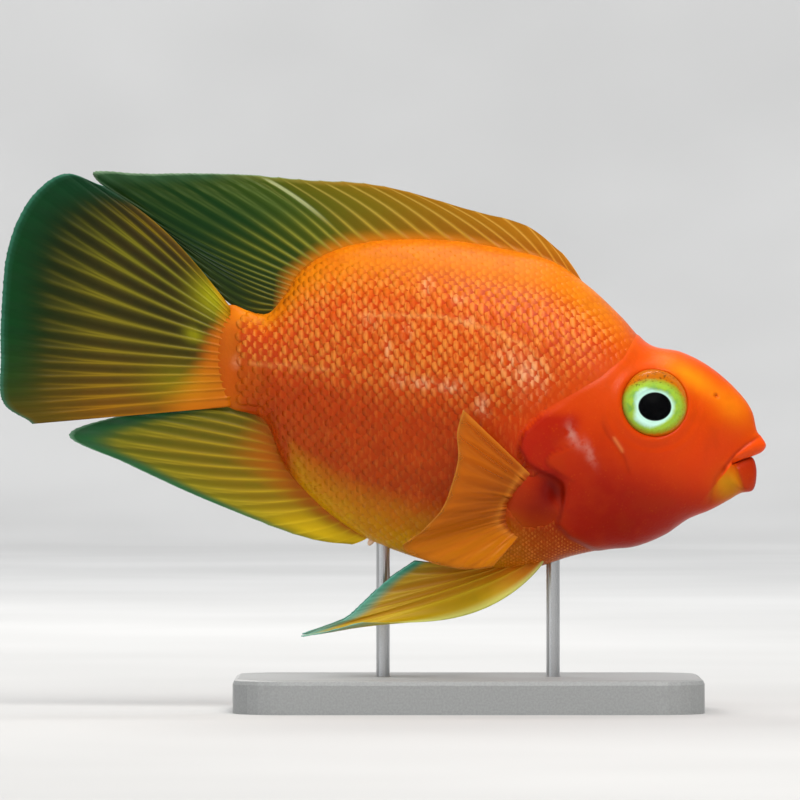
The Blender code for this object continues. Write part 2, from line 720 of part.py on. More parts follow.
def main():
    """Builds the fish and its stand."""
    clear_scene()
    parts = new_collection("blood_parrot_cichlid")
    cutters = new_collection("cutters")
    flesh = new_material("flesh", ORANGE, 0.35)
    fin = new_material("fin", FIN_AMBER, 0.4)
    eye = new_material("eye", EYE_GREEN, 0.1)
    base_grey = new_material("base", BASE_GREY, 0.5)
    steel = new_material("steel", STEEL_GREY, 0.3, 1.0)

    whole = make_body_mesh()
    skin = Skin(whole)
    sockets = [
        make_eye(skin, RIGHT, "eye_right", parts, cutters, eye),
        make_eye(skin, LEFT, "eye_left", parts, cutters, eye),
    ]
    seats = make_stand(skin, parts, cutters, base_grey, steel)
    part_body(whole, skin, seats, sockets, parts, cutters, flesh)
    make_caudal_fin(parts, fin)
    rooted = [
        make_ridge_fin("dorsal_fin", DORSAL_FORM, DORSAL_RAYS, skin, DORSAL_BOWS, DORSAL_SWAY, parts, fin),
        make_ridge_fin("anal_fin", ANAL_FORM, ANAL_RAYS, skin, ANAL_BOWS, ANAL_SWAY, parts, fin),
    ]
    for side, word in ((RIGHT, "right"), (LEFT, "left")):
        rooted.append(make_pectoral_fin(skin, side, "pectoral_fin_" + word, parts, fin))
        rooted.append(make_pelvic_fin(skin, side, "pelvic_fin_" + word, parts, fin))
    body_room = hide(new_object("body_room", grown(whole, GAP), cutters))
    for obj in rooted:
        cut(obj, body_room, "DIFFERENCE")


main()
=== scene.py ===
"""Looks of the blood parrot cichlid on its stand.

The fish is described in millimetres from the middle of its length and its long axis,
as in the solids, and set AXIS_HEIGHT above the floor. It faces +X.
"""

import logging
import math
from collections.abc import Sequence
from dataclasses import dataclass, field
from enum import Enum
from typing import Any

import bmesh
import bpy
import numpy as np
from bpy.types import Material, Mesh, Node, Object
from mathutils import Matrix, Vector
from mathutils.bvhtree import BVHTree

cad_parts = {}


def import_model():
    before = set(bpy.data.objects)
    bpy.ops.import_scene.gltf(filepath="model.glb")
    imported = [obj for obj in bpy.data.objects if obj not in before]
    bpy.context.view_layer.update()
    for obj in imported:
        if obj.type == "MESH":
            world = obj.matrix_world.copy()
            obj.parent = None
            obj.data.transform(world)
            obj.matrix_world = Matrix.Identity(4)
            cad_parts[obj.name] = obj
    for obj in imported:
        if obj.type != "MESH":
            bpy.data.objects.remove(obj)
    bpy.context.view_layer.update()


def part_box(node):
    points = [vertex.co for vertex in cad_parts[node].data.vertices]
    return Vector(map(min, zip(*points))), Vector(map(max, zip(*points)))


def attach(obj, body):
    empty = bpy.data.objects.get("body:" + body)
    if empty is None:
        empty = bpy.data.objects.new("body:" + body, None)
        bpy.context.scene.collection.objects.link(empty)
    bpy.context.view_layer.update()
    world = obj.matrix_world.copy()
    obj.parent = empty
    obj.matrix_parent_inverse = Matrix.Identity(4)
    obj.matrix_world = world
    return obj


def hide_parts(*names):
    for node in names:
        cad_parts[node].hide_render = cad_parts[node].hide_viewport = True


LOG = logging.getLogger("blood_parrot")

MM = 0.001
AXIS_HEIGHT = 73.0
BODY = "root"
Array = np.ndarray
Colour = tuple[float, float, float]
Point2 = tuple[float, float]
Point3 = tuple[float, float, float]
RayLine = tuple[float, float, float, float]
Stops = tuple[tuple[float, Colour], ...]


class Side(Enum):
    """The two sides of the fish, as the sign of Y."""

    RIGHT = -1.0
    LEFT = 1.0

    @property
    def word(self) -> str:
        """The side's name, as node names hold it."""
        return self.name.lower()


class Mark(Enum):
    """Markings that skin and scales share, each a number from 0 to 1 at every point."""

    LEVEL = "level"
    HEAD = "head"
    CHEEK = "cheek"
    # lighter yellow-orange of brow, forehead and top of the tail stem, partly the fish's yellow tone, partly
    # a painted highlight on the raised brow above the eye
    BROW = "brow"
    MEMBRANE = "membrane"
    # painted shade in the hollow between gill cover and breast fin lobe, and along the gill opening
    AXIL = "axil"
    LIP_UPPER = "lip_upper"
    LIP_LOWER = "lip_lower"
    CHIN = "chin"
    FLECK = "fleck"
    ROOT = "root"
    JAW = "jaw"
    BREAST = "breast"
    STEM = "stem"
    LINE = "line"
    # painted shade in the skin's folds and lip creases, along the cheek bone's edge and in the nostril
    DARK = "dark"
    LOBE = "lobe"


def to_world(points: Array) -> Array:
    """Turns the fish's millimetres into metres in the frame of the solids."""
    return (points + np.array([0.0, 0.0, AXIS_HEIGHT])) * MM


def smooth_through(keys: Sequence[float], values: Any, wanted: Array) -> Array:
    """Reads a smooth curve that passes through every given value.

    Args:
        keys: rising positions of the given values.
        values: one row of numbers for each key.
        wanted: positions to read at.

    Returns:
        One row of numbers for each wanted position.
    """
    knots = np.asarray(keys, float)
    rows = np.asarray(values, float)
    places = np.clip(np.asarray(wanted, float), knots[0], knots[-1])
    steps = np.diff(knots)[:, None]
    chords = np.diff(rows, axis=0) / steps
    slopes = np.empty_like(rows)
    slopes[0], slopes[-1] = chords[0], chords[-1]
    slopes[1:-1] = (chords[:-1] * steps[1:] + chords[1:] * steps[:-1]) / (steps[:-1] + steps[1:])
    span = np.clip(np.searchsorted(knots, places, side="right") - 1, 0, len(knots) - 2)
    width = steps[span]
    t = (places[:, None] - knots[span][:, None]) / width
    return (
        rows[span] * (1 + 2 * t) * (1 - t) ** 2
        + slopes[span] * width * t * (1 - t) ** 2
        + rows[span + 1] * t * t * (3 - 2 * t)
        + slopes[span + 1] * width * t * t * (t - 1)
    )


def ease(low: float, high: float, value: Array) -> Array:
    """A smooth rise from 0 at low to 1 at high, or a fall where low is the larger."""
    t = np.clip((value - low) / (high - low), 0.0, 1.0)
    return t * t * (3 - 2 * t)


def bump_at(x: Array, z: Array, centre: Point2, reach: Point2, turn: float = 0.0) -> Array:
    """A soft oval spot, 1 in its middle.

    Args:
        x: places along the fish.
        z: heights.
        centre: the middle of the spot.
        reach: its two half sizes, to where it has fallen to about a third.
        turn: how far its long axis is turned up from X, in degrees.

    Returns:
        The spot's strength at each place.
    """
    c, s = math.cos(math.radians(turn)), math.sin(math.radians(turn))
    dx, dz = x - centre[0], z - centre[1]
    return np.exp(-(((dx * c + dz * s) / reach[0]) ** 2) - ((dz * c - dx * s) / reach[1]) ** 2)


@dataclass(frozen=True)
class Spot:
    """A soft oval place in side view: its middle, half sizes, strength and turn in degrees."""

    centre: Point2
    reach: Point2
    strength: float = 1.0
    turn: float = 0.0


def spots_at(x: Array, z: Array, spots: Sequence[Spot]) -> Array:
    """Adds up soft oval spots.

    Args:
        x: places along the fish.
        z: heights.
        spots: the spots.

    Returns:
        Their strengths' sum at each place.
    """
    total = np.zeros(x.shape)
    for spot in spots:
        total += spot.strength * bump_at(x, z, spot.centre, spot.reach, spot.turn)
    return total


@dataclass(frozen=True)
class Trace:
    """An open line in side view, in millimetres."""

    points: tuple[Point2, ...]

    def measure(self, x: Array, z: Array) -> tuple[Array, Array, Array]:
        """Finds how places lie to the line.

        Args:
            x: places along the fish.
            z: heights.

        Returns:
            Distance to the line, share of the line's length at the nearest point, and
            which side of it a place is on, as 1 or -1.
        """
        corners = np.array(self.points, float)
        lengths = np.hypot(*np.diff(corners, axis=0).T)
        before = np.concatenate([[0.0], np.cumsum(lengths)])
        best = np.full(x.shape, np.inf)
        share = np.zeros(x.shape)
        hand = np.ones(x.shape)
        for i, (a, b) in enumerate(zip(corners[:-1], corners[1:])):
            along = (b - a) / lengths[i]
            reach = np.clip((x - a[0]) * along[0] + (z - a[1]) * along[1], 0.0, lengths[i])
            dx, dz = x - a[0] - along[0] * reach, z - a[1] - along[1] * reach
            distance = np.hypot(dx, dz)
            nearer = distance < best
            best = np.where(nearer, distance, best)
            share = np.where(nearer, (before[i] + reach) / before[-1], share)
            across = (x - a[0]) * along[1] - (z - a[1]) * along[0]
            hand = np.where(nearer, np.where(across > 0, -1.0, 1.0), hand)
        return best, share, hand

    def groove(self, x: Array, z: Array, width: float) -> Array:
        """A soft furrow along the line that fades at both ends, 1 in its middle.

        Args:
            x: places along the fish.
            z: heights.
            width: where the furrow has fallen to about a third, from its middle.

        Returns:
            The furrow's strength at each place.
        """
        distance, share, _ = self.measure(x, z)
        ends = ease(0.0, 0.15, share) * ease(1.0, 0.85, share)
        return ends * np.exp(-((distance / width) ** 2))


@dataclass(frozen=True)
class Ledge:
    """An edge where one cover of the head lies over the flesh behind it."""

    line: Trace
    fades: Point2
    softness: float
    rise: float
    rise_reach: float
    dip: float
    dip_reach: float

    def height(self, x: Array, z: Array) -> Array:
        """How high the cover stands and how deep the flesh beside it dips.

        Args:
            x: places along the fish.
            z: heights.

        Returns:
            Height at each place, in millimetres.
        """
        distance, share, hand = self.line.measure(x, z)
        strength = ease(0.0, self.fades[0], share) * ease(1.0, self.fades[1], share)
        cover = 1 / (1 + np.exp(-hand * distance / self.softness))
        raised = cover * self.rise * np.exp(-distance / self.rise_reach)
        sunk = (1 - cover) * self.dip * np.exp(-distance / self.dip_reach)
        return strength * (raised - sunk)


@dataclass(frozen=True)
class Fold:
    """A furrow of the skin: its line, width and depth."""

    line: Trace
    width: float
    depth: float


@dataclass(frozen=True)
class Girdle:
    """One closed line round the body, through its top, bottom and side points."""

    top: Point2
    low: Point2
    side: Point2
    half_width: float
    back_power: float
    share: float

    @property
    def row(self) -> tuple[float, ...]:
        """The girdle's numbers in the order that Body reads them."""
        return (*self.top, *self.low, *self.side, self.half_width, self.back_power)


GIRDLES = (
    Girdle((83.5, -14.6), (83.5, -14.6), (83.5, -14.6), 0.0, 1.0, 0.0),
    Girdle((85.2, -13.3), (85.0, -13.9), (82.6, -14.8), 1.6, 1.0, 0.03),
    Girdle((88.2, -12.75), (86.9, -13.5), (81.4, -15.2), 3.4, 1.0, 0.06),
    Girdle((90.1, -10.7), (87.9, -17.4), (81.9, -14.6), 4.9, 0.9, 0.10),
    Girdle((89.1, -8.7), (87.1, -21.1), (80.9, -15.5), 5.8, 0.9, 0.13),
    Girdle((88.0, -7.3), (84.2, -21.9), (79.3, -15.8), 6.1, 0.95, 0.16),
    Girdle((86.8, -2.6), (81.4, -23.5), (77.2, -14.4), 7.6, 0.95, 0.20),
    Girdle((83.1, 2.5), (76.9, -25.9), (73.9, -12.9), 10.1, 0.95, 0.25),
    Girdle((77.1, 7.7), (71.8, -28.0), (69.2, -11.5), 12.5, 1.0, 0.30),
    Girdle((70.2, 11.3), (66.1, -31.8), (64.0, -9.9), 14.6, 1.0, 0.355),
    Girdle((62.4, 13.3), (59.1, -34.5), (57.4, -8.5), 16.5, 1.0, 0.41),
    Girdle((56.2, 19.8), (52.7, -35.2), (51.1, -7.1), 18.0, 1.1, 0.46),
    Girdle((48.7, 26.8), (44.5, -36.9), (43.3, -5.4), 18.7, 1.15, 0.51),
    Girdle((39.8, 32.9), (35.1, -39.8), (34.6, -3.5), 18.8, 1.2, 0.56),
    Girdle((28.7, 35.8), (25.2, -40.6), (25.2, -1.9), 18.5, 1.2, 0.61),
    Girdle((15.8, 37.8), (14.6, -39.1), (14.6, 0.0), 17.4, 1.2, 0.66),
    Girdle((5.2, 38.1), (5.2, -36.4), (5.2, 1.9), 15.8, 1.2, 0.70),
    Girdle((-4.2, 37.4), (-3.5, -32.9), (-3.8, 3.5), 13.9, 1.2, 0.74),
    Girdle((-12.5, 35.1), (-11.3, -28.0), (-11.8, 4.9), 11.8, 1.2, 0.78),
    Girdle((-18.8, 31.1), (-18.4, -21.6), (-18.4, 6.4), 9.6, 1.15, 0.82),
    Girdle((-23.1, 25.2), (-23.8, -14.6), (-23.5, 7.5), 7.8, 1.1, 0.86),
    Girdle((-27.1, 20.6), (-27.5, -5.6), (-27.5, 8.2), 6.1, 1.0, 0.90),
    Girdle((-31.8, 21.4), (-31.8, -3.4), (-31.8, 8.9), 4.5, 1.0, 0.94),
    Girdle((-35.5, 22.7), (-35.5, -2.4), (-35.5, 9.4), 2.7, 1.0, 0.965),
    Girdle((-37.4, 21.2), (-37.4, -0.2), (-38.4, 9.9), 1.3, 1.0, 0.985),
    Girdle((-38.6, 17.4), (-38.6, 3.6), (-39.8, 10.2), 0.4, 1.0, 0.996),
    Girdle((-40.2, 10.4), (-40.2, 10.4), (-40.2, 10.4), 0.0, 1.0, 1.0),
)

# Soft rises and dips of the side, whose strengths are millimetres.
SWELLINGS = (
    Spot((36.2, -24.5), (6.2, 6.2), 2.0),
    Spot((40.6, -21.5), (2.2, 3.0), -1.8),
    Spot((55.0, -19.0), (9.0, 8.0), 0.9),
    Spot((38.5, -10.0), (7.0, 6.5), 0.8),
    Spot((68.0, 7.0), (6.0, 2.5), 0.5),
)
CHEEK_SPOTS = (Spot((60.0, -27.0), (15.0, 9.0), 1.0, 12), Spot((50.0, -18.0), (9.0, 9.0), 0.7))
# Lighter yellow-orange spots of brow, forehead and tail stem; on the raised brow above the eye they are
# partly a painted highlight.
BROW_SPOTS = (
    Spot((72.0, 5.6), (7.5, 2.4), 1.0, -32),
    Spot((82.0, -1.5), (5.0, 3.6), 0.55, -40),
    Spot((-31.5, 19.8), (5.5, 3.0), 0.9, -10),
)
# Painted shade in the hollow between gill cover and breast fin lobe.
AXIL_SHADE_SPOTS = (Spot((38.9, -21.0), (3.2, 4.4), 1.1, 20), Spot((36.0, -25.0), (3.6, 4.2), 0.35))
FLECK_SPOTS = (
    Spot((15.8, 3.3), (2.6, 1.4)), Spot((9.2, 4.0), (2.2, 1.2), 0.8),
    Spot((23.3, -1.2), (1.3, 2.0)), Spot((3.5, 4.9), (1.4, 1.7), 0.7),
    Spot((0.9, 11.8), (1.0, 2.1), 0.6), Spot((5.4, 15.5), (1.1, 2.0), 0.7),
    Spot((-3.3, 18.4), (1.7, 1.9), 0.5), Spot((10.6, 26.8), (1.0, 1.7), 0.9),
    Spot((17.4, 23.5), (1.5, 0.9), 0.6), Spot((19.5, 18.4), (1.6, 1.0), 0.6),
    Spot((34.6, 5.2), (4.0, 4.5), 0.5, -30), Spot((30.5, 8.8), (5.0, 3.0), 0.5, -30),
    Spot((-34.6, 8.9), (0.9, 1.4), 0.5), Spot((44.0, -7.8), (1.1, 2.2), 0.8, 12),
    Spot((48.2, -12.4), (1.0, 2.8), 0.6, 20), Spot((45.8, -10.2), (1.3, 1.4), 0.4),
)

GILL_EDGE = Trace((
    (45.0, 1.0), (37.0, -3.5), (32.8, -7.6), (31.8, -11.1), (33.6, -14.8), (36.5, -16.7),
    (39.8, -17.9), (41.9, -19.5), (42.2, -21.9), (41.9, -24.9), (40.9, -29.2), (43.5, -32.0),
    (49.2, -34.8), (57.0, -36.6),
))
BONE_EDGE = Trace((
    (49.5, -5.5), (46.5, -8.8), (43.5, -10.8), (38.8, -12.7), (38.2, -14.0), (38.4, -15.1),
    (42.1, -17.9), (44.5, -19.0),
))
CHEEK_FOLD = Trace(((50.8, -4.5), (52.2, -8.0), (54.4, -10.6), (56.4, -13.5), (58.0, -18.5)))
JAW_FOLD = Trace(((80.6, -15.4), (78.2, -18.2), (77.2, -21.5), (76.6, -25.0)))
UPPER_LIP_CREASE = Trace((
    (89.4, -7.8), (88.0, -8.7), (85.2, -10.5), (82.8, -12.5), (80.4, -15.6), (79.2, -18.0),
))
LOWER_LIP_CREASE = Trace(((82.6, -14.4), (83.4, -17.5), (84.4, -20.4), (85.2, -22.6)))
LOBE_EDGE = Trace((
    (35.6, -16.6), (32.6, -18.6), (30.2, -21.6), (28.6, -25.6), (29.2, -29.0), (32.0, -31.6),
))
GAPE = Trace(((92.0, -13.0), (87.5, -13.1), (84.7, -13.7), (81.9, -15.1), (79.0, -18.6)))
UPPER_PORES = Trace((
    (-8.0, 19.8), (3.1, 19.8), (12.9, 19.5), (19.8, 18.1), (26.4, 16.0), (32.9, 12.7), (36.2, 9.4),
))
LOWER_PORES = Trace(((-33.2, 8.9), (-27.8, 8.2), (-23.1, 8.2), (-16.7, 7.3), (-10.0, 7.0)))
PALE_FOLD = Trace(((53.6, -8.4), (54.8, -10.2), (56.2, -12.4)))
HEAD_LINE = Trace((
    (61.5, 26.0), (60.6, 15.5), (57.0, 9.5), (51.0, 4.5), (45.0, 1.0), (37.0, -3.5), (32.8, -7.6),
    (31.8, -11.1), (33.6, -14.8), (36.5, -16.7), (39.8, -17.9), (42.2, -21.9), (40.9, -29.2),
    (43.5, -32.0), (49.2, -34.8), (57.0, -36.6), (62.0, -44.0),
))

LEDGES = (
    Ledge(GILL_EDGE, (0.2, 0.86), 0.22, 0.85, 4.5, 0.65, 1.3),
    Ledge(BONE_EDGE, (0.3, 0.8), 0.22, 0.4, 3.0, 0.25, 1.5),
    Ledge(LOBE_EDGE, (0.25, 0.75), 0.3, 0.7, 2.6, 0.5, 0.9),
)
FOLDS = (
    Fold(CHEEK_FOLD, 0.6, 0.26),
    Fold(JAW_FOLD, 0.7, 0.25),
    Fold(UPPER_LIP_CREASE, 0.55, 0.55),
    Fold(LOWER_LIP_CREASE, 0.55, 0.5),
)

EYE_CENTRE = (63.4, -0.8)
EYE_RADIUS = 8.1
EYE_HALF_DEPTH = 4.0
EYE_TURN_OUT = math.radians(14.0)
EYE_TILT_UP = math.radians(8.0)
EYE_SOCKET_DEPTH = 3.4
NOSTRIL = (78.1, 0.9)
NOSTRIL_DEPTH = 0.8
SCALE_DEPTH = 0.34


class Body:
    """The shape of head, body and tail stem as one surface."""

    keys = [g.share for g in GIRDLES]
    rows = [g.row for g in GIRDLES]

    def relief(self, x: Array, z: Array) -> Array:
        """How far folds, lips, gill cover and eye sockets raise the side, in millimetres.

        Args:
            x: places along the fish.
            z: heights.

        Returns:
            Height above the plain body, outwards.
        """
        height = spots_at(x, z, SWELLINGS)
        from_eye = np.hypot(x - EYE_CENTRE[0], z - EYE_CENTRE[1])
        height += self.ring(from_eye, 8.7, 1.2, 0.42)
        height -= EYE_SOCKET_DEPTH * ease(8.0, 6.9, from_eye)
        height += self.ring(from_eye, 11.6, 0.8, 0.16) * ease(2.0, -4.0, z)
        for ledge in LEDGES:
            height += ledge.height(x, z)
        for fold in FOLDS:
            height -= fold.depth * fold.line.groove(x, z, fold.width)
        from_nostril = np.hypot(x - NOSTRIL[0], z - NOSTRIL[1])
        pit = NOSTRIL_DEPTH * ease(0.7, 0.25, from_nostril)
        height += self.ring(from_nostril, 0.95, 0.35, 0.1) - pit
        return height

    def ring(self, distance: Array, radius: float, width: float, rise: float) -> Array:
        """A soft ridge of this width and rise round a middle, at this radius."""
        return rise * np.exp(-(((distance - radius) / width) ** 2))

    def points(self, share: Array, angle: Array, plain: bool = False) -> Array:
        """Points of the surface.

        Args:
            share: 0 at the mouth to 1 at the tail.
            angle: 0 at the back, round the left side to pi at the belly.
            plain: whether to leave the relief out.

        Returns:
            Rows of x, y, z in the fish's millimetres.
        """
        rows = smooth_through(self.keys, self.rows, share)
        top_x, top_z, low_x, low_z, side_x, side_z, half_width, back_power = rows.T
        cosine, sine = np.cos(angle), np.sin(angle)
        middle_x, middle_z = (top_x + low_x) / 2, (top_z + low_z) / 2
        x = middle_x + (top_x - low_x) / 2 * cosine + (side_x - middle_x) * sine**2
        z = middle_z + (top_z - low_z) / 2 * cosine + (side_z - middle_z) * sine**2
        power = 0.9 + (back_power - 0.9) * (1 + cosine) / 2
        reach = np.abs(sine) ** power
        rise = 0.0 if plain else self.relief(x, z)
        y = np.sign(sine) * (half_width * reach + rise * np.minimum(1.0, reach * half_width / 6.0))
        return np.stack([x, y, z], axis=1)

    def height_share(self, x: Array, z: Array) -> Array:
        """How high places lie between the belly line, 0, and the back line, 1.

        Args:
            x: places along the fish.
            z: heights.

        Returns:
            The share of the height at each place.
        """
        order = slice(None, None, -1)
        tops = np.array([g.top for g in GIRDLES[3:-1]])[order]
        lows = np.array([g.low for g in GIRDLES[3:-1]])[order]
        top = np.interp(x, tops[:, 0], tops[:, 1])
        low = np.interp(x, lows[:, 0], lows[:, 1])
        return (z - low) / np.maximum(top - low, 1.0)

    def inset(self, x: Array, z: Array) -> Array:
        """How deep the skin lies under the solids, to leave room for the scales."""
        distance, _, hand = HEAD_LINE.measure(x, z)
        scaled = np.where(hand < 0, ease(0.0, 1.2, distance), 0.0)
        return SCALE_DEPTH * scaled * ease(-38.0, -35.0, x)


class Markings:
    """Where each marking of the photo's fish lies, for skin and scales alike."""

    def __init__(self, body: Body) -> None:
        """Keeps the body that the markings follow."""
        self.body = body

    def read(self, points: Array) -> dict[Mark, Array]:
        """Reads every marking.

        Args:
            points: rows of x, y, z in the fish's millimetres.

        Returns:
            For each marking its strength at each point.
        """
        x, z = points[:, 0], points[:, 2]
        level = self.body.height_share(x, z)
        distance, _, hand = HEAD_LINE.measure(x, z)
        ahead = hand * distance
        marks = {
            Mark.LEVEL: np.maximum(level, 0.3 * ease(-16.0, -27.0, x)),
            Mark.HEAD: ease(-12.0, 2.5, ahead),
            Mark.CHEEK: np.clip(spots_at(x, z, CHEEK_SPOTS), 0, 1) * ease(-1.0, 2.0, ahead),
            Mark.BROW: spots_at(x, z, BROW_SPOTS),
            Mark.LOBE: bump_at(x, z, (35.6, -24.6), (6.3, 7.0)) * (ahead < 0.5),
            Mark.FLECK: spots_at(x, z, FLECK_SPOTS),
            Mark.STEM: ease(-24.0, -31.0, x) * bump_at(x, z, (-33.0, 6.5), (12.0, 7.5)),
            Mark.ROOT: ease(-31.0, -35.6, x),
            Mark.JAW: bump_at(x, z, (74.0, -15.0), (13.0, 12.0)) * (ahead > 0.0),
            Mark.BREAST: bump_at(x, z, (41.0, -36.0), (17.0, 7.0), 8) * (ahead < 0.5),
            Mark.LINE: self.pale_lines(x, z),
            **self.gill_marks(x, z),
            **self.mouth_marks(x, z),
        }
        return {mark: np.clip(value, 0.0, 1.0) for mark, value in marks.items()}

    def gill_marks(self, x: Array, z: Array) -> dict[Mark, Array]:
        """Reads the markings round the gill opening, with painted shade in the hollow behind the gill cover
        and along the opening, and painted shade in the skin's folds.

        Args:
            x: places along the fish.
            z: heights.

        Returns:
            For each of these markings its strength at each place.
        """
        gill, gill_share, gill_hand = GILL_EDGE.measure(x, z)
        bone, _, bone_hand = BONE_EDGE.measure(x, z)
        upright = ease(-1.5, -5.5, z) * ease(-20.0, -17.0, z)
        flap = (gill_hand > 0) * (bone_hand < 0) * ease(48.0, 43.5, x) * upright
        flap = flap * ease(9.0, 5.0, gill)
        # Painted shade: a dark line along the gill opening.
        slit_shade = 0.45 * np.exp(-((gill / 0.5) ** 2)) * (gill_share > 0.25)
        from_nostril = np.hypot(x - NOSTRIL[0], z - NOSTRIL[1])
        return {
            Mark.MEMBRANE: flap + bump_at(x, z, (38.0, -8.2), (4.6, 2.6), 30) * (gill_hand > 0),
            Mark.AXIL: spots_at(x, z, AXIL_SHADE_SPOTS) + slit_shade,
            # Painted shade in creases and hollows: the bone edge, the cheek, lip and jaw folds, and the
            # nostril.
            Mark.DARK: 0.5 * np.exp(-((bone / 0.35) ** 2)) * (x < 46)
            + 0.5 * CHEEK_FOLD.groove(x, z, 0.4)
            + 0.7 * UPPER_LIP_CREASE.groove(x, z, 0.4)
            + 0.5 * LOWER_LIP_CREASE.groove(x, z, 0.4)
            + 0.4 * JAW_FOLD.groove(x, z, 0.5)
            + 0.4 * ease(0.6, 0.3, from_nostril),
        }

    def mouth_marks(self, x: Array, z: Array) -> dict[Mark, Array]:
        """Reads the markings of lips and chin.

        Args:
            x: places along the fish.
            z: heights.

        Returns:
            For each of these markings its strength at each place.
        """
        lip, _, lip_hand = UPPER_LIP_CREASE.measure(x, z)
        low_lip, _, low_hand = LOWER_LIP_CREASE.measure(x, z)
        above_gape = GAPE.measure(x, z)[2] < 0
        upper = np.where((lip_hand > 0) & above_gape, ease(0.0, 0.5, lip), 0.0)
        lower = np.where((low_hand > 0) & ~above_gape, ease(0.0, 0.5, low_lip), 0.0)
        return {
            Mark.LIP_UPPER: upper * ease(78.6, 80.4, x),
            Mark.LIP_LOWER: lower * ease(81.5, 82.5, x),
            Mark.CHIN: bump_at(x, z, (80.9, -19.8), (3.8, 4.2), 25) * np.where(above_gape, 0.2, 1.0),
        }

    def pale_lines(self, x: Array, z: Array) -> Array:
        """The two pale rows of pored scales, and a pale fold of the cheek."""
        rows = UPPER_PORES.groove(x, z, 0.42) + 0.5 * LOWER_PORES.groove(x, z, 0.42)
        return rows + 0.7 * PALE_FOLD.groove(x, z, 0.4)


def add_number_layer(mesh: Mesh, name: str, values: Array) -> None:
    """Stores one number at each corner point of a mesh under this name."""
    layer = mesh.attributes.new(name, "FLOAT", "POINT")
    layer.data.foreach_set("value", np.ascontiguousarray(values, np.float32))


def finish_piece(
    name: str, mesh: Mesh, material: Material, nodes: Sequence[str] = ()
) -> Object:
    """Makes a mesh a piece of the part.

    Args:
        name: the piece's name.
        mesh: its mesh, in place.
        material: its finish.
        nodes: the solids that it stands for.

    Returns:
        The new object.
    """
    obj = bpy.data.objects.new(name, mesh)
    bpy.context.scene.collection.objects.link(obj)
    mesh.materials.clear()
    mesh.materials.append(material)
    mesh.shade_smooth()
    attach(obj, BODY)
    if nodes:
        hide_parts(*nodes)
    LOG.info("%s: %d faces", name, len(mesh.polygons))
    return obj


def ball_mesh(name: str, segments: int, rings: int) -> tuple[Mesh, Array]:
    """Starts a mesh from a ball of radius 1.

    Args:
        name: the mesh's name.
        segments: faces round its poles.
        rings: faces from pole to pole.

    Returns:
        The mesh and its corners.
    """
    shape = bmesh.new()
    bmesh.ops.create_uvsphere(shape, u_segments=segments, v_segments=rings, radius=1.0)
    mesh = bpy.data.meshes.new(name)
    shape.to_mesh(mesh)
    corners = np.array([v.co for v in shape.verts])
    shape.free()
    return mesh, corners


def move_corners(mesh: Mesh, points: Array) -> None:
    """Moves a mesh's corners to these points, in the fish's millimetres."""
    mesh.vertices.foreach_set("co", to_world(points).astype(np.float32).ravel())
    mesh.update()


def read_normals(mesh: Mesh) -> Array:
    """Reads the normal at each of a mesh's corners."""
    normals = np.empty(len(mesh.vertices) * 3, np.float32)
    mesh.vertices.foreach_get("normal", normals)
    return normals.reshape(-1, 3)


@dataclass
class Skin:
    """One closed skin for head, body and tail stem."""

    body: Body
    markings: Markings
    segments: int = 288
    rings: int = 330
    mesh: Mesh = field(init=False)
    tree: BVHTree = field(init=False)

    def build(self) -> None:
        """Maps a fine ball, with its poles in the mouth and at the tail, onto the body."""
        self.mesh, corners = ball_mesh("skin", self.segments, self.rings)
        share = np.arccos(np.clip(corners[:, 2], -1, 1)) / math.pi
        angle = np.arctan2(corners[:, 1], corners[:, 0])
        points = self.body.points(share, angle)
        move_corners(self.mesh, points)
        normals = read_normals(self.mesh)
        if (normals[:, 1] * points[:, 1]).sum() < 0:
            self.mesh.flip_normals()
            normals = -normals
        points = points - normals * self.body.inset(points[:, 0], points[:, 2])[:, None]
        move_corners(self.mesh, points)
        for mark, values in self.markings.read(points).items():
            add_number_layer(self.mesh, mark.value, values)
        shape = bmesh.new()
        shape.from_mesh(self.mesh)
        self.tree = BVHTree.FromBMesh(shape)
        shape.free()

    def cast(self, start: Array, end: Array) -> tuple[Array, Array]:
        """Finds where a line first meets the skin.

        Args:
            start: where the line starts, in the fish's millimetres.
            end: a point that it runs towards.

        Returns:
            The meeting point and the skin's outward normal there.
        """
        origin = Vector(to_world(np.asarray(start, float)))
        heading = (Vector(to_world(np.asarray(end, float))) - origin).normalized()
        hit, normal, _, _ = self.tree.ray_cast(origin, heading)
        if hit is None:
            hit, normal, _, _ = self.tree.find_nearest(Vector(to_world(np.asarray(end, float))))
        point = np.array(hit) / MM - np.array([0.0, 0.0, AXIS_HEIGHT])
        return point, np.array(normal)


FIRST_STATION = 0.33
LAST_STATION = 0.999
NET_EDGE = 0.0005
SEARCH_ROUNDS = 14


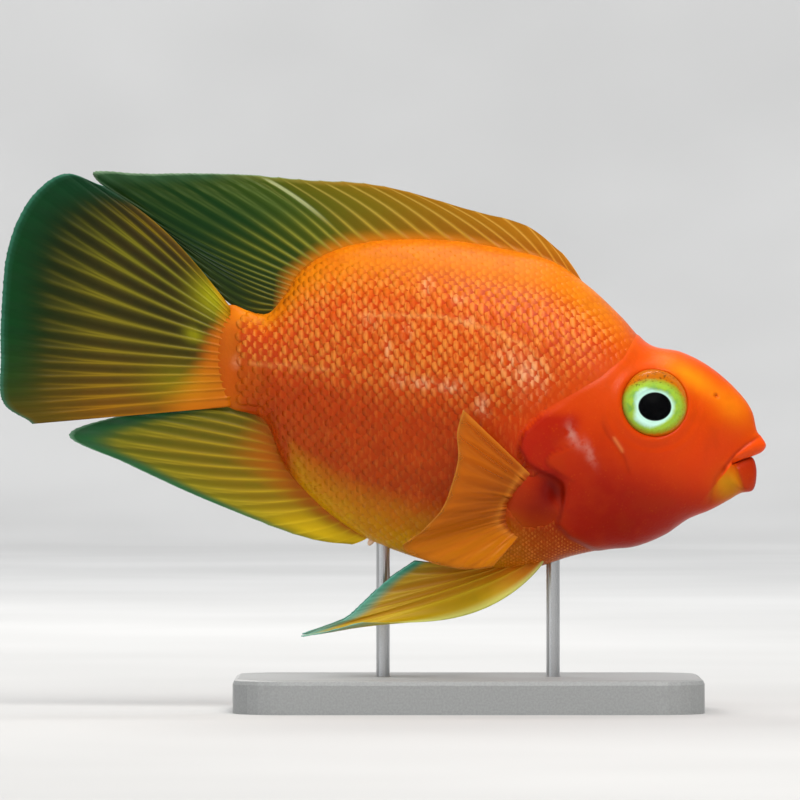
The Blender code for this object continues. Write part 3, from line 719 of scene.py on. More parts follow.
class SurfaceMap:
    """Reads one side of the body by place along the fish and girth from its middle line."""

    def __init__(self, body: Body, stations: int = 420, steps: int = 180) -> None:
        """Measures the body on an even net from back to belly.

        Args:
            body: the body.
            stations: the net's lines from head to tail.
            steps: the net's lines from back to belly.
        """
        self.stations, self.steps = stations, steps
        share = np.linspace(FIRST_STATION, LAST_STATION, stations)
        angle = np.linspace(NET_EDGE, math.pi - NET_EDGE, steps)
        s, a = np.meshgrid(share, angle, indexing="ij")
        self.points = body.points(s.ravel(), a.ravel()).reshape(stations, steps, 3)
        plain = body.points(s.ravel(), a.ravel(), plain=True).reshape(stations, steps, 3)
        along, down = np.gradient(self.points, axis=0), np.gradient(self.points, axis=1)
        normals = np.cross(down, along)
        normals /= np.linalg.norm(normals, axis=2, keepdims=True) + 1e-12
        outwards = plain - plain.mean(axis=1, keepdims=True)
        self.normals = normals * np.sign((normals * outwards).sum(axis=2, keepdims=True))
        lengths = np.linalg.norm(np.diff(plain, axis=1), axis=2)
        girth = np.concatenate([np.zeros((stations, 1)), np.cumsum(lengths, axis=1)], axis=1)
        middle = girth[:, steps // 2][:, None]
        self.girth = middle - girth
        self.x = plain[:, :, 0]

    def read(self, table: Array, i: Array, j: Array) -> Array:
        """Reads a table of the net between its lines.

        Args:
            table: one number or row for each crossing of the net.
            i: stations, with fractions.
            j: steps, with fractions.

        Returns:
            The table's number or row at each place.
        """
        i0 = np.clip(i.astype(int), 0, self.stations - 2)
        j0 = np.clip(j.astype(int), 0, self.steps - 2)
        fi, fj = i - i0, j - j0
        if table.ndim == 3:
            fi, fj = fi[:, None], fj[:, None]
        return (
            table[i0, j0] * (1 - fi) * (1 - fj) + table[i0 + 1, j0] * fi * (1 - fj)
            + table[i0, j0 + 1] * (1 - fi) * fj + table[i0 + 1, j0 + 1] * fi * fj
        )

    def locate(self, x: Array, girth: Array) -> tuple[Array, Array]:
        """Finds net places for places along the fish and girths from the middle line.

        Args:
            x: places along the fish.
            girth: distances up the side from the middle line, negative towards the belly.

        Returns:
            Station and step of each, with fractions.
        """
        middle = self.steps // 2
        order = slice(None, None, -1)
        i = np.interp(x, self.x[order, middle], np.arange(self.stations)[order])
        j = np.full(x.shape, float(middle))
        for _ in range(SEARCH_ROUNDS):
            x_now, g_now = self.read(self.x, i, j), self.read(self.girth, i, j)
            x_i = self.read(self.x, i + 0.5, j) - self.read(self.x, i - 0.5, j)
            x_j = self.read(self.x, i, j + 0.5) - self.read(self.x, i, j - 0.5)
            g_i = self.read(self.girth, i + 0.5, j) - self.read(self.girth, i - 0.5, j)
            g_j = self.read(self.girth, i, j + 0.5) - self.read(self.girth, i, j - 0.5)
            whole = x_i * g_j - x_j * g_i
            whole = np.where(np.abs(whole) < 1e-6, -1e-6, whole)
            off_x, off_g = x - x_now, girth - g_now
            i = np.clip(i + np.clip((off_x * g_j - off_g * x_j) / whole, -25, 25), 0, self.stations - 1.001)
            j = np.clip(j + np.clip((off_g * x_i - off_x * g_i) / whole, -12, 12), 0, self.steps - 1.001)
        return i, j

    def sample(self, i: Array, j: Array) -> tuple[Array, Array]:
        """Points and outward normals at these net places."""
        normals = self.read(self.normals, i, j)
        return self.read(self.points, i, j), normals / np.linalg.norm(normals, axis=1, keepdims=True)

    def unwrapped(self, i: Array, j: Array, side: Side) -> Array:
        """Places of these net points on a flat unwrap of the whole body."""
        u = 0.03 + 0.94 * i / self.stations
        half = 0.03 + 0.43 * j / self.steps
        return np.stack([u, half if side is Side.LEFT else 1.0 - half], axis=1)


@dataclass(frozen=True)
class ScalePatch:
    """One field of overlapping scales on the body."""

    name: str
    pitch: float
    row_pitch: float
    length: float
    width: float
    lift: float
    seed: int

    def wanted(self, x: Array, z: Array, behind: Array) -> Array:
        """Whether a scale grows at each place; behind is the distance behind the head's line."""
        raise NotImplementedError


class FlankScales(ScalePatch):
    """The large scales of back, flank and tail stem."""

    def wanted(self, x: Array, z: Array, behind: Array) -> Array:
        """Everywhere behind the head but on breast, lobe and the stem's ridges, to a ragged end.

        Args:
            x: places along the fish.
            z: heights.
            behind: distance behind the head's line.

        Returns:
            Whether a scale grows at each place.
        """
        breast = (z < -27.0 + 0.25 * (x - 30.0)) & (x > 24.0)
        lobe = np.hypot((x - 35.5) / 7.5, (z + 24.0) / 7.6) < 1.0
        ridge = (x < -29.0) & (np.abs(z - 9.8) > 10.4)
        ragged_end = -33.6 + 0.9 * np.sin(2.1 * z)
        return (behind > -0.2) & ~breast & ~lobe & ~ridge & (x > ragged_end)


class BreastScales(ScalePatch):
    """The fine scales of the breast, between gill openings and belly fins."""

    def wanted(self, x: Array, z: Array, behind: Array) -> Array:
        """On the breast only."""
        breast = (z < -26.0 + 0.25 * (x - 30.0)) & (x > 23.0)
        lobe = np.hypot((x - 35.5) / 6.6, (z + 24.0) / 6.4) < 1.0
        return (behind > -0.1) & breast & ~lobe


PLATE_THICKNESS = 0.06
PLATE_ON_MAP = 0.0012
FIRST_COLUMN = -38.0
LAST_COLUMN = 64.0
GIRTH_REACH = 62.0


@dataclass
class ScaleCoat:
    """All scales of one patch on one side, as one mesh of small closed plates."""

    surface: SurfaceMap
    markings: Markings
    cells: int = 4

    def plate(self) -> tuple[Array, Array]:
        """Makes the pattern of one plate.

        Returns:
            Its corners, each as place along, place across and which face it is on, from
            -1 to 1, and its four-cornered faces.
        """
        shape = bmesh.new()
        bmesh.ops.create_grid(shape, x_segments=self.cells, y_segments=self.cells, size=1.0)
        bmesh.ops.solidify(shape, geom=shape.faces[:], thickness=0.1)
        shape.verts.index_update()
        corners = np.array([v.co for v in shape.verts])
        faces = np.array([[v.index for v in f.verts] for f in shape.faces])
        shape.free()
        middle = (corners[:, 2].max() + corners[:, 2].min()) / 2
        corners[:, 2] = np.where(corners[:, 2] > middle, 1.0, -1.0)
        return corners, faces

    def roots(self, patch: ScalePatch) -> tuple[Array, Array, Array, Array]:
        """Chooses where the patch's scales grow, in staggered rows.

        Args:
            patch: the field of scales.

        Returns:
            Place along, girth, size factor and freedom to stand off of each scale.
        """
        columns = np.arange(FIRST_COLUMN / patch.pitch, LAST_COLUMN / patch.pitch)
        last_row = int(GIRTH_REACH / patch.row_pitch)
        rows = np.arange(-last_row, last_row + 1)
        c, r = np.meshgrid(columns, rows)
        c = (c + 0.5 * (r % 2)).ravel()
        r = r.ravel().astype(float)
        dice = np.random.default_rng(patch.seed + 100)
        girth = r * patch.row_pitch
        # Rows draw closer together towards back and belly.
        girth = np.sign(girth) * 60.0 * np.sin(np.abs(girth) / GIRTH_REACH * 1.18) / 1.06
        x = c * patch.pitch + dice.normal(0.0, 0.045 * patch.pitch, c.shape)
        girth = girth + dice.normal(0.0, 0.04 * patch.pitch, c.shape)
        i, j = self.surface.locate(x, girth)
        found_x = self.surface.read(self.surface.x, i, j)
        found_g = self.surface.read(self.surface.girth, i, j)
        points, _ = self.surface.sample(i, j)
        distance, _, hand = HEAD_LINE.measure(points[:, 0], points[:, 2])
        keep = (np.abs(found_x - x) < 0.3) & (np.abs(found_g - girth) < 0.5)
        keep &= patch.wanted(points[:, 0], points[:, 2], -hand * distance)
        size = 1.0 - 0.25 * ease(22.0, 46.0, np.abs(girth)) - 0.18 * ease(-18.0, -34.0, x)
        size -= 0.12 * ease(46.0, 60.0, x) + 0.15 * ease(-31.0, -36.0, x)
        calm = ease(0.0, 15.0, -hand * distance) * ease(-35.5, -26.0, points[:, 0])
        return x[keep], girth[keep], size[keep], calm[keep]

    def build(self, patch: ScalePatch, side: Side) -> Mesh:
        """Lays every plate of a patch on the body.

        Args:
            patch: the field of scales.
            side: the side of the fish.

        Returns:
            The joined mesh, with its markings and its bake map.
        """
        dice = np.random.default_rng(patch.seed)
        x, girth, size, calm = self.roots(patch)
        corners, faces = self.plate()
        count, each = len(x), len(corners)
        p, q, face = corners.T
        round_p, round_q = p * np.sqrt(1 - q * q / 2), q * np.sqrt(1 - p * p / 2)
        length = patch.length * size * dice.uniform(0.94, 1.06, count)
        width = patch.width * size * dice.uniform(0.94, 1.06, count)
        turn = dice.normal(0.0, 0.05, count)
        lean = dice.normal(0.0, 0.03, count)
        chance = dice.uniform(0.0, 1.0, count)
        along = -round_p[None, :] * length[:, None] / 2
        across = round_q[None, :] * width[:, None] / 2
        place_x = x[:, None] + along * np.cos(turn)[:, None] - across * np.sin(turn)[:, None]
        place_g = girth[:, None] + across * np.cos(turn)[:, None] + along * np.sin(turn)[:, None]
        i, j = self.surface.locate(place_x.ravel(), place_g.ravel())
        points, normals = self.surface.sample(i, j)
        back = (round_p + 1) / 2
        rim = np.maximum(np.abs(p), np.abs(q)) ** 6
        rise = patch.lift * ((0.22 + 0.78 * calm) * self.relief(x, girth))[:, None]
        height = -SCALE_DEPTH * 0.75 + rise * back[None, :] * (1 + lean[:, None] * 4)
        height = height - 0.03 * (round_q**2)[None, :] * size[:, None]
        thick = PLATE_THICKNESS / 2 * (1 - 0.75 * rim)
        height = height + (face * thick)[None, :]
        points = points + normals * height.reshape(-1)[:, None]
        points[:, 1] = np.maximum(points[:, 1], 0.02) * side.value
        offsets = (np.arange(count) * each)[:, None, None]
        quads = (faces[None, :, :] + offsets).reshape(-1, 4)
        if side is Side.RIGHT:
            quads = quads[:, ::-1]
        mesh = self._join(f"{patch.name}_{side.word}", points, quads)
        for mark, values in self.markings.read(points).items():
            add_number_layer(mesh, mark.value, values)
        add_number_layer(mesh, "back_share", np.tile(back, count))
        add_number_layer(mesh, "across_share", np.tile(round_q, count))
        add_number_layer(mesh, "chance", np.repeat(chance, each))
        self._map(mesh, x, girth, corners, quads, side)
        return mesh

    def relief(self, x: Array, girth: Array) -> Array:
        """How freely scales stand off, most on the upper flank and least on back and belly."""
        upper = ease(-6.0, 6.0, girth) * ease(32.0, 22.0, girth)
        lower = ease(4.0, -4.0, girth) * 0.07
        return 0.04 + lower + 0.28 * upper * ease(-26.0, -14.0, x)

    def _join(self, name: str, points: Array, quads: Array) -> Mesh:
        """Fills a mesh with corners and four-cornered faces.

        Args:
            name: the mesh's name.
            points: its corners, in the fish's millimetres.
            quads: the four corners of each face, turned outwards.

        Returns:
            The mesh.
        """
        mesh = bpy.data.meshes.new(name)
        mesh.vertices.add(len(points))
        mesh.vertices.foreach_set("co", to_world(points).astype(np.float32).ravel())
        mesh.loops.add(quads.size)
        mesh.loops.foreach_set("vertex_index", quads.astype(np.int32).ravel())
        mesh.polygons.add(len(quads))
        mesh.polygons.foreach_set("loop_start", np.arange(0, quads.size, 4, dtype=np.int32))
        mesh.update(calc_edges=True)
        mesh.validate()
        return mesh

    def _map(
        self, mesh: Mesh, x: Array, girth: Array, corners: Array, quads: Array, side: Side
    ) -> None:
        """Gives each plate its own small patch at its root's place on the body's unwrap.

        Args:
            mesh: the plates' mesh.
            x: place along the fish of each plate's root.
            girth: girth of each plate's root.
            corners: the pattern of one plate.
            quads: the corners of every face of the mesh.
            side: the side of the fish.
        """
        i, j = self.surface.locate(x, girth)
        roots = self.surface.unwrapped(i, j, side)
        small = corners[:, :2] * PLATE_ON_MAP
        places = (roots[:, None, :] + small[None, :, :]).reshape(-1, 2)
        layer = mesh.uv_layers.new(name="OFBake")
        layer.data.foreach_set("uv", places[quads.ravel()].astype(np.float32).ravel())


PLEAT = 0.11


@dataclass
class FinSheet:
    """The common make of every fin: a thin closed sheet of rays and webs.

    Across runs from 0 at the first ray to 1 at the last, and along from 0 at the root to
    1 at the tips.
    """

    node: str
    rays: int
    rows: int
    columns: int = 8
    root_thickness: float = 1.3
    ray_thickness: float = 0.8
    web_thickness: float = 0.3
    spines: float = 0.0
    notch: float = 0.02
    rim_start: float = 0.975
    seed: int = 1

    def middle(self, across: Array, along: Array) -> Array:
        """Points of the fin's middle surface, in the fish's millimetres."""
        raise NotImplementedError

    def tones(self, across: Array, along: Array) -> dict[str, Array]:
        """Strengths of the fin's own colours at each place."""
        raise NotImplementedError

    def branches(self, across: Array, along: Array) -> tuple[Array, Array, Array]:
        """How near places lie to a ray or one of its branches.

        Args:
            across: shares across the fin.
            along: shares along the rays.

        Returns:
            The nearness, 1 on a ray; how soft the ray there is, 0 for a spine; and the
            number of the ray.
        """
        cell = across * (self.rays - 1)
        number = np.round(cell)
        off = cell - number
        soft = np.ones(across.shape)
        if self.spines:
            soft = ease(self.spines - 0.02, self.spines + 0.02, across)
        fork = 0.26 * ease(0.38, 0.95, along) * soft
        twig = 0.115 * ease(0.68, 1.0, along) * soft
        near = np.abs(np.abs(off) - fork)
        near = np.abs(near - twig)
        half = 0.13 - 0.075 * along
        near_ray = np.exp(-((near / (half * (1.0 - 0.35 * soft * along))) ** 2))
        return near_ray, soft, number

    def bands(self, across: Array, along: Array) -> Array:
        """The soft band of each ray and its branches, which widens towards the tips.

        Args:
            across: shares across the fin.
            along: shares along the rays.

        Returns:
            The band's strength, 1 in its middle.
        """
        cell = across * (self.rays - 1)
        off = np.abs(cell - np.round(cell))
        if not self.spines:
            return np.exp(-((off / (0.15 + 0.16 * along)) ** 2))
        soft = ease(self.spines - 0.01, self.spines + 0.01, across)
        return np.exp(-((off / (0.09 + soft * (0.08 + 0.16 * along))) ** 2))

    def build(self, material: Material) -> Object:
        """Makes the sheet, in its place, with its tones.

        Args:
            material: the fin's finish.

        Returns:
            The fin.
        """
        mesh, across, along, face = self.sheet()
        ray, soft, number = self.branches(across, along)
        cell = np.abs(across * (self.rays - 1) - number)
        dice = np.random.default_rng(self.seed)
        reach = 1 - dice.uniform(0.0, 0.003, self.rays + 1)[number.astype(int)]
        scallop = np.where(soft < 0.5, self.notch * np.sqrt(np.clip(cell * 2, 0, 1)), 0.004 * (1 - ray))
        far = along * (reach - scallop * ease(0.4, 1.0, along))
        normals = self.normals(across, far)
        pleat = PLEAT * np.cos(2 * math.pi * cell) * ease(0.1, 0.5, along) * (0.3 + 0.7 * soft)
        joints = 1 + 0.10 * np.sin(along * 150.0) * ray * soft * ease(0.15, 0.4, along)
        half = face * self.thickness(across, along, ray) / 2
        points = self.middle(across, far) + normals * (pleat + half * joints)[:, None]
        move_corners(mesh, points)
        if ((read_normals(mesh) * normals).sum(axis=1) * face).mean() < 0:
            mesh.flip_normals()
        layers = {
            "ray": ray,
            "band": self.bands(across, along),
            "along": along,
            "place": across,
            "rim": ease(self.rim_start, 1.0, along),
            **self.tones(across, along),
        }
        for name, values in layers.items():
            add_number_layer(mesh, name, np.clip(values, 0, 1))
        return finish_piece(self.node + "_dressed", mesh, material, (self.node,))

    def sheet(self) -> tuple[Mesh, Array, Array, Array]:
        """Starts the fin from a flat closed grid.

        Returns:
            The mesh, and for each of its corners the share across the fin, the share along
            the rays and which face it is on, 1 or -1.
        """
        shape = bmesh.new()
        wide = self.columns * (self.rays - 1)
        bmesh.ops.create_grid(shape, x_segments=wide, y_segments=self.rows, size=0.5)
        bmesh.ops.solidify(shape, geom=shape.faces[:], thickness=0.1)
        mesh = bpy.data.meshes.new(self.node + "_sheet")
        shape.to_mesh(mesh)
        corners = np.array([v.co for v in shape.verts])
        shape.free()
        low, high = corners.min(axis=0), corners.max(axis=0)
        face = np.where(corners[:, 2] > (low[2] + high[2]) / 2, 1.0, -1.0)
        across = np.clip(corners[:, 0] + 0.5, 0, 1)
        along = np.clip(corners[:, 1] + 0.5, 0, 1) ** 0.9
        return mesh, across, along, face

    def normals(self, across: Array, along: Array, step: float = 0.004) -> Array:
        """Directions square to the fin's middle surface.

        Args:
            across: shares across the fin.
            along: shares along the rays.
            step: how far to either side the surface is read.

        Returns:
            One row of length 1 for each place.
        """
        left, right = np.clip(across - step, 0, 1), np.clip(across + step, 0, 1)
        near, far = np.clip(along - step, 0, 1), np.clip(along + step, 0, 1)
        one = self.middle(right, along) - self.middle(left, along)
        two = self.middle(across, far) - self.middle(across, near)
        normals = np.cross(one, two)
        return normals / (np.linalg.norm(normals, axis=1, keepdims=True) + 1e-12)

    def thickness(self, across: Array, along: Array, ray: Array) -> Array:
        """How thick the fin is, most at its root and on its rays, least at its rims.

        Args:
            across: shares across the fin.
            along: shares along the rays.
            ray: nearness to a ray.

        Returns:
            Thickness at each place, in millimetres.
        """
        web = self.web_thickness * (1 - 0.55 * along)
        sheet = web + (self.ray_thickness - self.web_thickness) * ray * (1 - 0.68 * along)
        fairing = ease(0.16, 0.0, along)
        sheet = sheet + (self.root_thickness - sheet) * fairing * (0.7 + 0.3 * ray)
        rim = np.minimum(ease(0.0, 0.012, across), ease(1.0, 0.988, across)) * 0.6 + 0.4
        return sheet * rim


def read_lines(lines: Sequence[RayLine], across: Array) -> Array:
    """Reads ray lines, given as root x, z and tip x, z, smoothly at shares across a fin."""
    return smooth_through(np.linspace(0.0, 1.0, len(lines)), lines, across)


def swayed(x: Array, amount: float) -> Array:
    """Sideways bend of an unpaired fin, which grows towards the tail."""
    return amount * np.clip((-20.0 - x) / 68.0, 0.0, 1.0) ** 1.6


ROOT_DEPTH = 1.1
OUTSIDE = 90.0
# How far a ray's middle stands above a straight line, by its place across the fin: for
# dorsal and anal fin as a share of the ray's length, for the tail fin in millimetres.
DORSAL_BOWS = ((0.0, 0.5, 0.72, 0.9, 1.0), (0.05, 0.05, -0.04, -0.07, -0.17))
ANAL_BOWS = ((0.0, 0.5, 0.8, 1.0), (-0.05, -0.03, 0.01, 0.08))
CAUDAL_BOWS = ((0.0, 0.07, 0.14, 0.25, 0.4, 1.0), (3.4, 2.2, 1.0, -0.3, -0.8, 0.0))
# How far the stem's flesh runs out along the tail fin's rays, by place across the fin, and
# the fin's yellow places, by shares across and along it.
CAUDAL_FLESH = (
    (0.0, 0.06, 0.12, 0.3, 0.5, 0.62, 0.8, 1.0),
    (0.16, 0.10, 0.06, 0.06, 0.11, 0.12, 0.19, 0.30),
)
CAUDAL_GLOWS = (
    Spot((0.12, 0.10), (0.16, 0.11)),
    Spot((0.47, 0.16), (0.045, 0.04), 0.7),
    Spot((0.82, 0.22), (0.14, 0.16), 0.35),
)

DORSAL_RAYS = (
    (46.0, 29.0, 42.2, 34.6), (41.0, 31.5, 33.5, 41.2), (34.5, 34.0, 20.5, 44.8), (25.6, 36.2, 4.5, 49.4),
    (13.6, 37.8, -6.1, 51.3), (3.1, 38.1, -16.7, 51.8), (-6.1, 36.9, -26.6, 52.7),
    (-11.3, 35.5, -34.8, 53.2), (-16.0, 33.2, -45.4, 53.4), (-19.1, 30.8, -57.2, 53.4),
    (-21.2, 28.5, -68.5, 53.6), (-22.4, 26.4, -61.2, 46.9), (-23.3, 24.0, -52.6, 41.0),
    (-23.9, 22.1, -44.2, 32.0), (-24.2, 20.3, -38.4, 24.6),
)
CAUDAL_RAYS = (
    (-35.9, 21.9, -66.8, 51.0), (-35.9, 19.8, -75.5, 53.2), (-35.9, 17.0, -83.8, 46.6),
    (-35.9, 13.9, -88.6, 34.4), (-35.9, 10.4, -90.0, 19.0), (-35.9, 6.8, -90.0, 8.9),
    (-35.9, 3.2, -89.9, 0.5), (-35.9, -1.6, -85.4, -5.9),
)
ANAL_RAYS = (
    (-4.0, -32.5, -7.3, -34.0), (-7.3, -30.8, -14.8, -33.2), (-11.3, -28.2, -23.1, -30.9),
    (-15.3, -24.9, -33.6, -26.8), (-18.6, -21.6, -46.6, -21.4), (-21.6, -17.9, -60.7, -14.8),
    (-24.0, -14.6, -74.1, -8.5), (-25.7, -11.3, -64.5, -4.3), (-26.9, -7.8, -53.0, -2.9),
    (-27.8, -3.9, -40.2, -1.6),
)
PELVIC_RAYS = (
    (38.9, -38.6, -5.0, -52.0), (36.2, -39.6, -19.3, -55.4), (33.0, -40.3, -9.5, -51.6),
    (31.0, -40.5, -5.0, -47.8), (29.0, -40.3, 0.7, -42.4), (27.0, -39.9, 7.4, -37.8),
)
PECTORAL_RAYS = (
    (35.3, -17.9, 18.6, -2.1), (33.2, -19.1, 17.2, -7.5), (31.3, -20.5, 17.4, -13.6),
    (29.9, -22.4, 15.8, -20.0), (28.9, -24.2, 13.6, -25.4), (28.7, -26.1, 8.9, -30.6),
    (28.9, -28.0, 4.5, -34.4), (29.6, -29.6, 11.1, -37.9), (30.8, -31.1, 19.1, -39.5),
    (32.2, -32.0, 25.6, -39.1),
)


@dataclass
class RootedFin(FinSheet):
    """A fin whose rays grow from feet found on the skin."""

    lines: Sequence[RayLine] = ()
    skin: Skin | None = None
    feet: int = 120
    roots: Array = field(init=False)

    def foot_of(self, line: Array, across: float) -> Array:
        """The point under the skin that a ray grows from."""
        raise NotImplementedError

    def find_roots(self) -> None:
        """Finds the foot of every ray line once."""
        shares = np.linspace(0, 1, self.feet)
        lines = read_lines(self.lines, shares)
        self.roots = np.array([self.foot_of(line, share) for share, line in zip(shares, lines)])

    def root(self, across: Array) -> Array:
        """Reads the feet of the rays."""
        keys = np.linspace(0, 1, len(self.roots))
        return np.stack([np.interp(across, keys, self.roots[:, k]) for k in range(3)], axis=1)


@dataclass
class RidgeFin(RootedFin):
    """The dorsal or anal fin, whose root follows the ridge of the body."""

    bows: tuple[tuple[float, ...], tuple[float, ...]] = ((0.0, 1.0), (0.0, 0.0))
    sway: float = 0.0
    feet: int = 160

    def foot_of(self, line: Array, across: float) -> Array:
        """Where a ray line, cast from its tip, meets the ridge, and a little deeper."""
        tip, foot = np.array([line[2], 0.0, line[3]]), np.array([line[0], 0.0, line[1]])
        hit, _ = self.skin.cast(tip, foot)
        return hit + (foot - tip) / np.linalg.norm(foot - tip) * ROOT_DEPTH

    def middle(self, across: Array, along: Array) -> Array:
        """Rays run from the ridge to their tips with a slight bow.

        Args:
            across: shares across the fin.
            along: shares along the rays.

        Returns:
            Rows of x, y, z in the fish's millimetres.
        """
        root, line = self.root(across), read_lines(self.lines, across)
        tip = np.stack([line[:, 2], np.zeros(len(line)), line[:, 3]], axis=1)
        points = root + (tip - root) * along[:, None]
        bow = np.interp(across, *self.bows) * np.linalg.norm(tip - root, axis=1)
        points[:, 2] += bow * np.sin(math.pi * along)
        points[:, 1] = swayed(points[:, 0], self.sway) * along
        return points


@dataclass
class DorsalFin(RidgeFin):
    """Thirteen spines, then soft rays drawn out to a point."""

    def tones(self, across: Array, along: Array) -> dict[str, Array]:
        """Orange at the root, olive over the middle, dark teal towards the rear edge.

        Args:
            across: shares across the fin.
            along: shares along the rays.

        Returns:
            For each tone its strength at each place.
        """
        rear = ease(0.42, 0.62, across)
        last_spine = ease(0.010, 0.003, np.abs(across - self.spines))
        return {
            "base": ease(0.2 - 0.08 * rear, 0.0, along),
            "rear": ease(0.12, 0.55, along),
            "edge": ease(0.86, 1.0, along) * ease(0.1, 0.3, across),
            "glow": 0.8 * last_spine * ease(0.2, 0.6, along),
        }


@dataclass
class AnalFin(RidgeFin):
    """Spines in front, then soft rays drawn out to a point."""

    def tones(self, across: Array, along: Array) -> dict[str, Array]:
        """Orange at the root, yellow front rays, a clear teal margin.

        Args:
            across: shares across the fin.
            along: shares along the rays.

        Returns:
            For each tone its strength at each place.
        """
        margin = ease(0.90 - 0.22 * across, 1.0 - 0.1 * across, along)
        length = ease(0.1, 0.4, along) * ease(0.95, 0.6, along)
        return {
            "base": ease(0.34, 0.0, along),
            "rear": ease(0.3, 0.95, along),
            "edge": margin * ease(0.05, 0.35, across),
            "glow": ease(0.42, 0.15, across) * length,
        }


@dataclass
class CaudalFin(FinSheet):
    """The tail fin, which fans out from the end of the stem."""

    def middle(self, across: Array, along: Array) -> Array:
        """Rays run from the stem's end to the fin's rear edge.

        Args:
            across: shares across the fin.
            along: shares along the rays.

        Returns:
            Rows of x, y, z in the fish's millimetres.
        """
        line = read_lines(CAUDAL_RAYS, across)
        upper_corner = 0.03 * ease(0.08, 0.0, across)
        lower_corner = 0.055 * ease(0.86, 1.0, across) ** 2
        along = along * (1 - upper_corner - lower_corner)
        bow = np.interp(across, *CAUDAL_BOWS) * np.sin(math.pi * along)
        x = line[:, 0] + (line[:, 2] - line[:, 0]) * along
        z = line[:, 1] + (line[:, 3] - line[:, 1]) * along + bow
        return np.stack([x, swayed(x, -2.5), z], axis=1)

    def tones(self, across: Array, along: Array) -> dict[str, Array]:
        """Orange on the stem's end, olive amber in the middle, a broad clear margin.

        Args:
            across: shares across the fin.
            along: shares along the rays.

        Returns:
            For each tone its strength at each place.
        """
        low = ease(0.72, 0.98, across)
        corner = ease(0.3, 0.1, across) * 0.06
        flesh = np.interp(across, *CAUDAL_FLESH)
        return {
            "base": ease(1.4, 0.6, along / flesh),
            "rear": ease(0.5, 0.9, along),
            "edge": ease(0.77, 0.97, along + corner) * (1 - 0.6 * low),
            "glow": spots_at(across, along, CAUDAL_GLOWS),
        }


@dataclass
class PairedFin(RootedFin):
    """A breast or belly fin, on one side."""

    side: Side = Side.RIGHT


PECTORAL_TIP_YS = (25.0, 25.6, 26.0, 26.0, 25.6, 24.6, 23.0, 21.0, 18.6, 16.2)


@dataclass
class PectoralFin(PairedFin):
    """A breast fin, a fan that spreads back from its lobe."""

    def foot_of(self, line: Array, across: float) -> Array:
        """On the side of the body, under the lobe's edge."""
        start = np.array([line[0], self.side.value * OUTSIDE, line[1]])
        hit, normal = self.skin.cast(start, np.array([line[0], 0.0, line[1]]))
        return hit - normal * ROOT_DEPTH

    def middle(self, across: Array, along: Array) -> Array:
        """Rays stand out from the body at once, then run back beside it.

        Args:
            across: shares across the fin.
            along: shares along the rays.

        Returns:
            Rows of x, y, z in the fish's millimetres.
        """
        line = read_lines(PECTORAL_RAYS, across)
        root = self.root(across)
        keys = np.linspace(0, 1, len(PECTORAL_TIP_YS))
        tip_y = self.side.value * np.interp(across, keys, PECTORAL_TIP_YS)
        x = root[:, 0] + (line[:, 2] - root[:, 0]) * along
        z = root[:, 2] + (line[:, 3] - root[:, 2]) * along
        y = root[:, 1] + (tip_y - root[:, 1]) * (1 - (1 - along) ** 1.6)
        return np.stack([x, y, z], axis=1)

    def tones(self, across: Array, along: Array) -> dict[str, Array]:
        """Amber all over, with a pale line where the rays begin.

        Args:
            across: shares across the fin.
            along: shares along the rays.

        Returns:
            For each tone its strength at each place.
        """
        return {
            "base": ease(0.2, 0.03, along),
            "rear": ease(0.3, 1.0, along) * 0.3,
            "edge": ease(0.9, 1.0, along) * 0.8,
            "glow": np.exp(-(((along - 0.12) / 0.035) ** 2)) + 0.8 * ease(0.035, 0.0, across),
        }


@dataclass
class PelvicFin(PairedFin):
    """A belly fin, which trails back and down and ends in a thread."""

    def foot_y(self, across: Any) -> Any:
        """How far to the side a ray grows, most for the first one."""
        return self.side.value * (3.6 + 1.6 * (1 - across))

    def foot_of(self, line: Array, across: float) -> Array:
        """On the underside of the breast."""
        y = self.foot_y(across)
        hit, normal = self.skin.cast(np.array([line[0], y, -OUTSIDE]), np.array([line[0], y, 0.0]))
        return hit - normal * ROOT_DEPTH

    def middle(self, across: Array, along: Array) -> Array:
        """Rays hang down a little before they run back.

        Args:
            across: shares across the fin.
            along: shares along the rays.

        Returns:
            Rows of x, y, z in the fish's millimetres.
        """
        line = read_lines(PELVIC_RAYS, across)
        root = self.root(across)
        spread = self.side.value * (3.0 + 7.0 * (1 - across) ** 1.4)
        tip = np.stack([line[:, 2], self.foot_y(across) + spread, line[:, 3]], axis=1)
        points = root + (tip - root) * along[:, None]
        belly = 6.8 * np.sin(math.pi * along**0.7) * (1 - across) ** 5
        points[:, 2] -= belly + 0.5 * np.sin(math.pi * along)
        return points

    def tones(self, across: Array, along: Array) -> dict[str, Array]:
        """Yellow orange, paler and bluish towards the rear, with a pale leading edge.

        Args:
            across: shares across the fin.
            along: shares along the rays.

        Returns:
            For each tone its strength at each place.
        """
        return {
            "base": ease(0.3, 0.0, along),
            "rear": ease(0.35, 1.0, along),
            "edge": ease(0.84, 0.97, along),
            "glow": ease(0.07, 0.0, across) * ease(1.0, 0.7, along),
        }


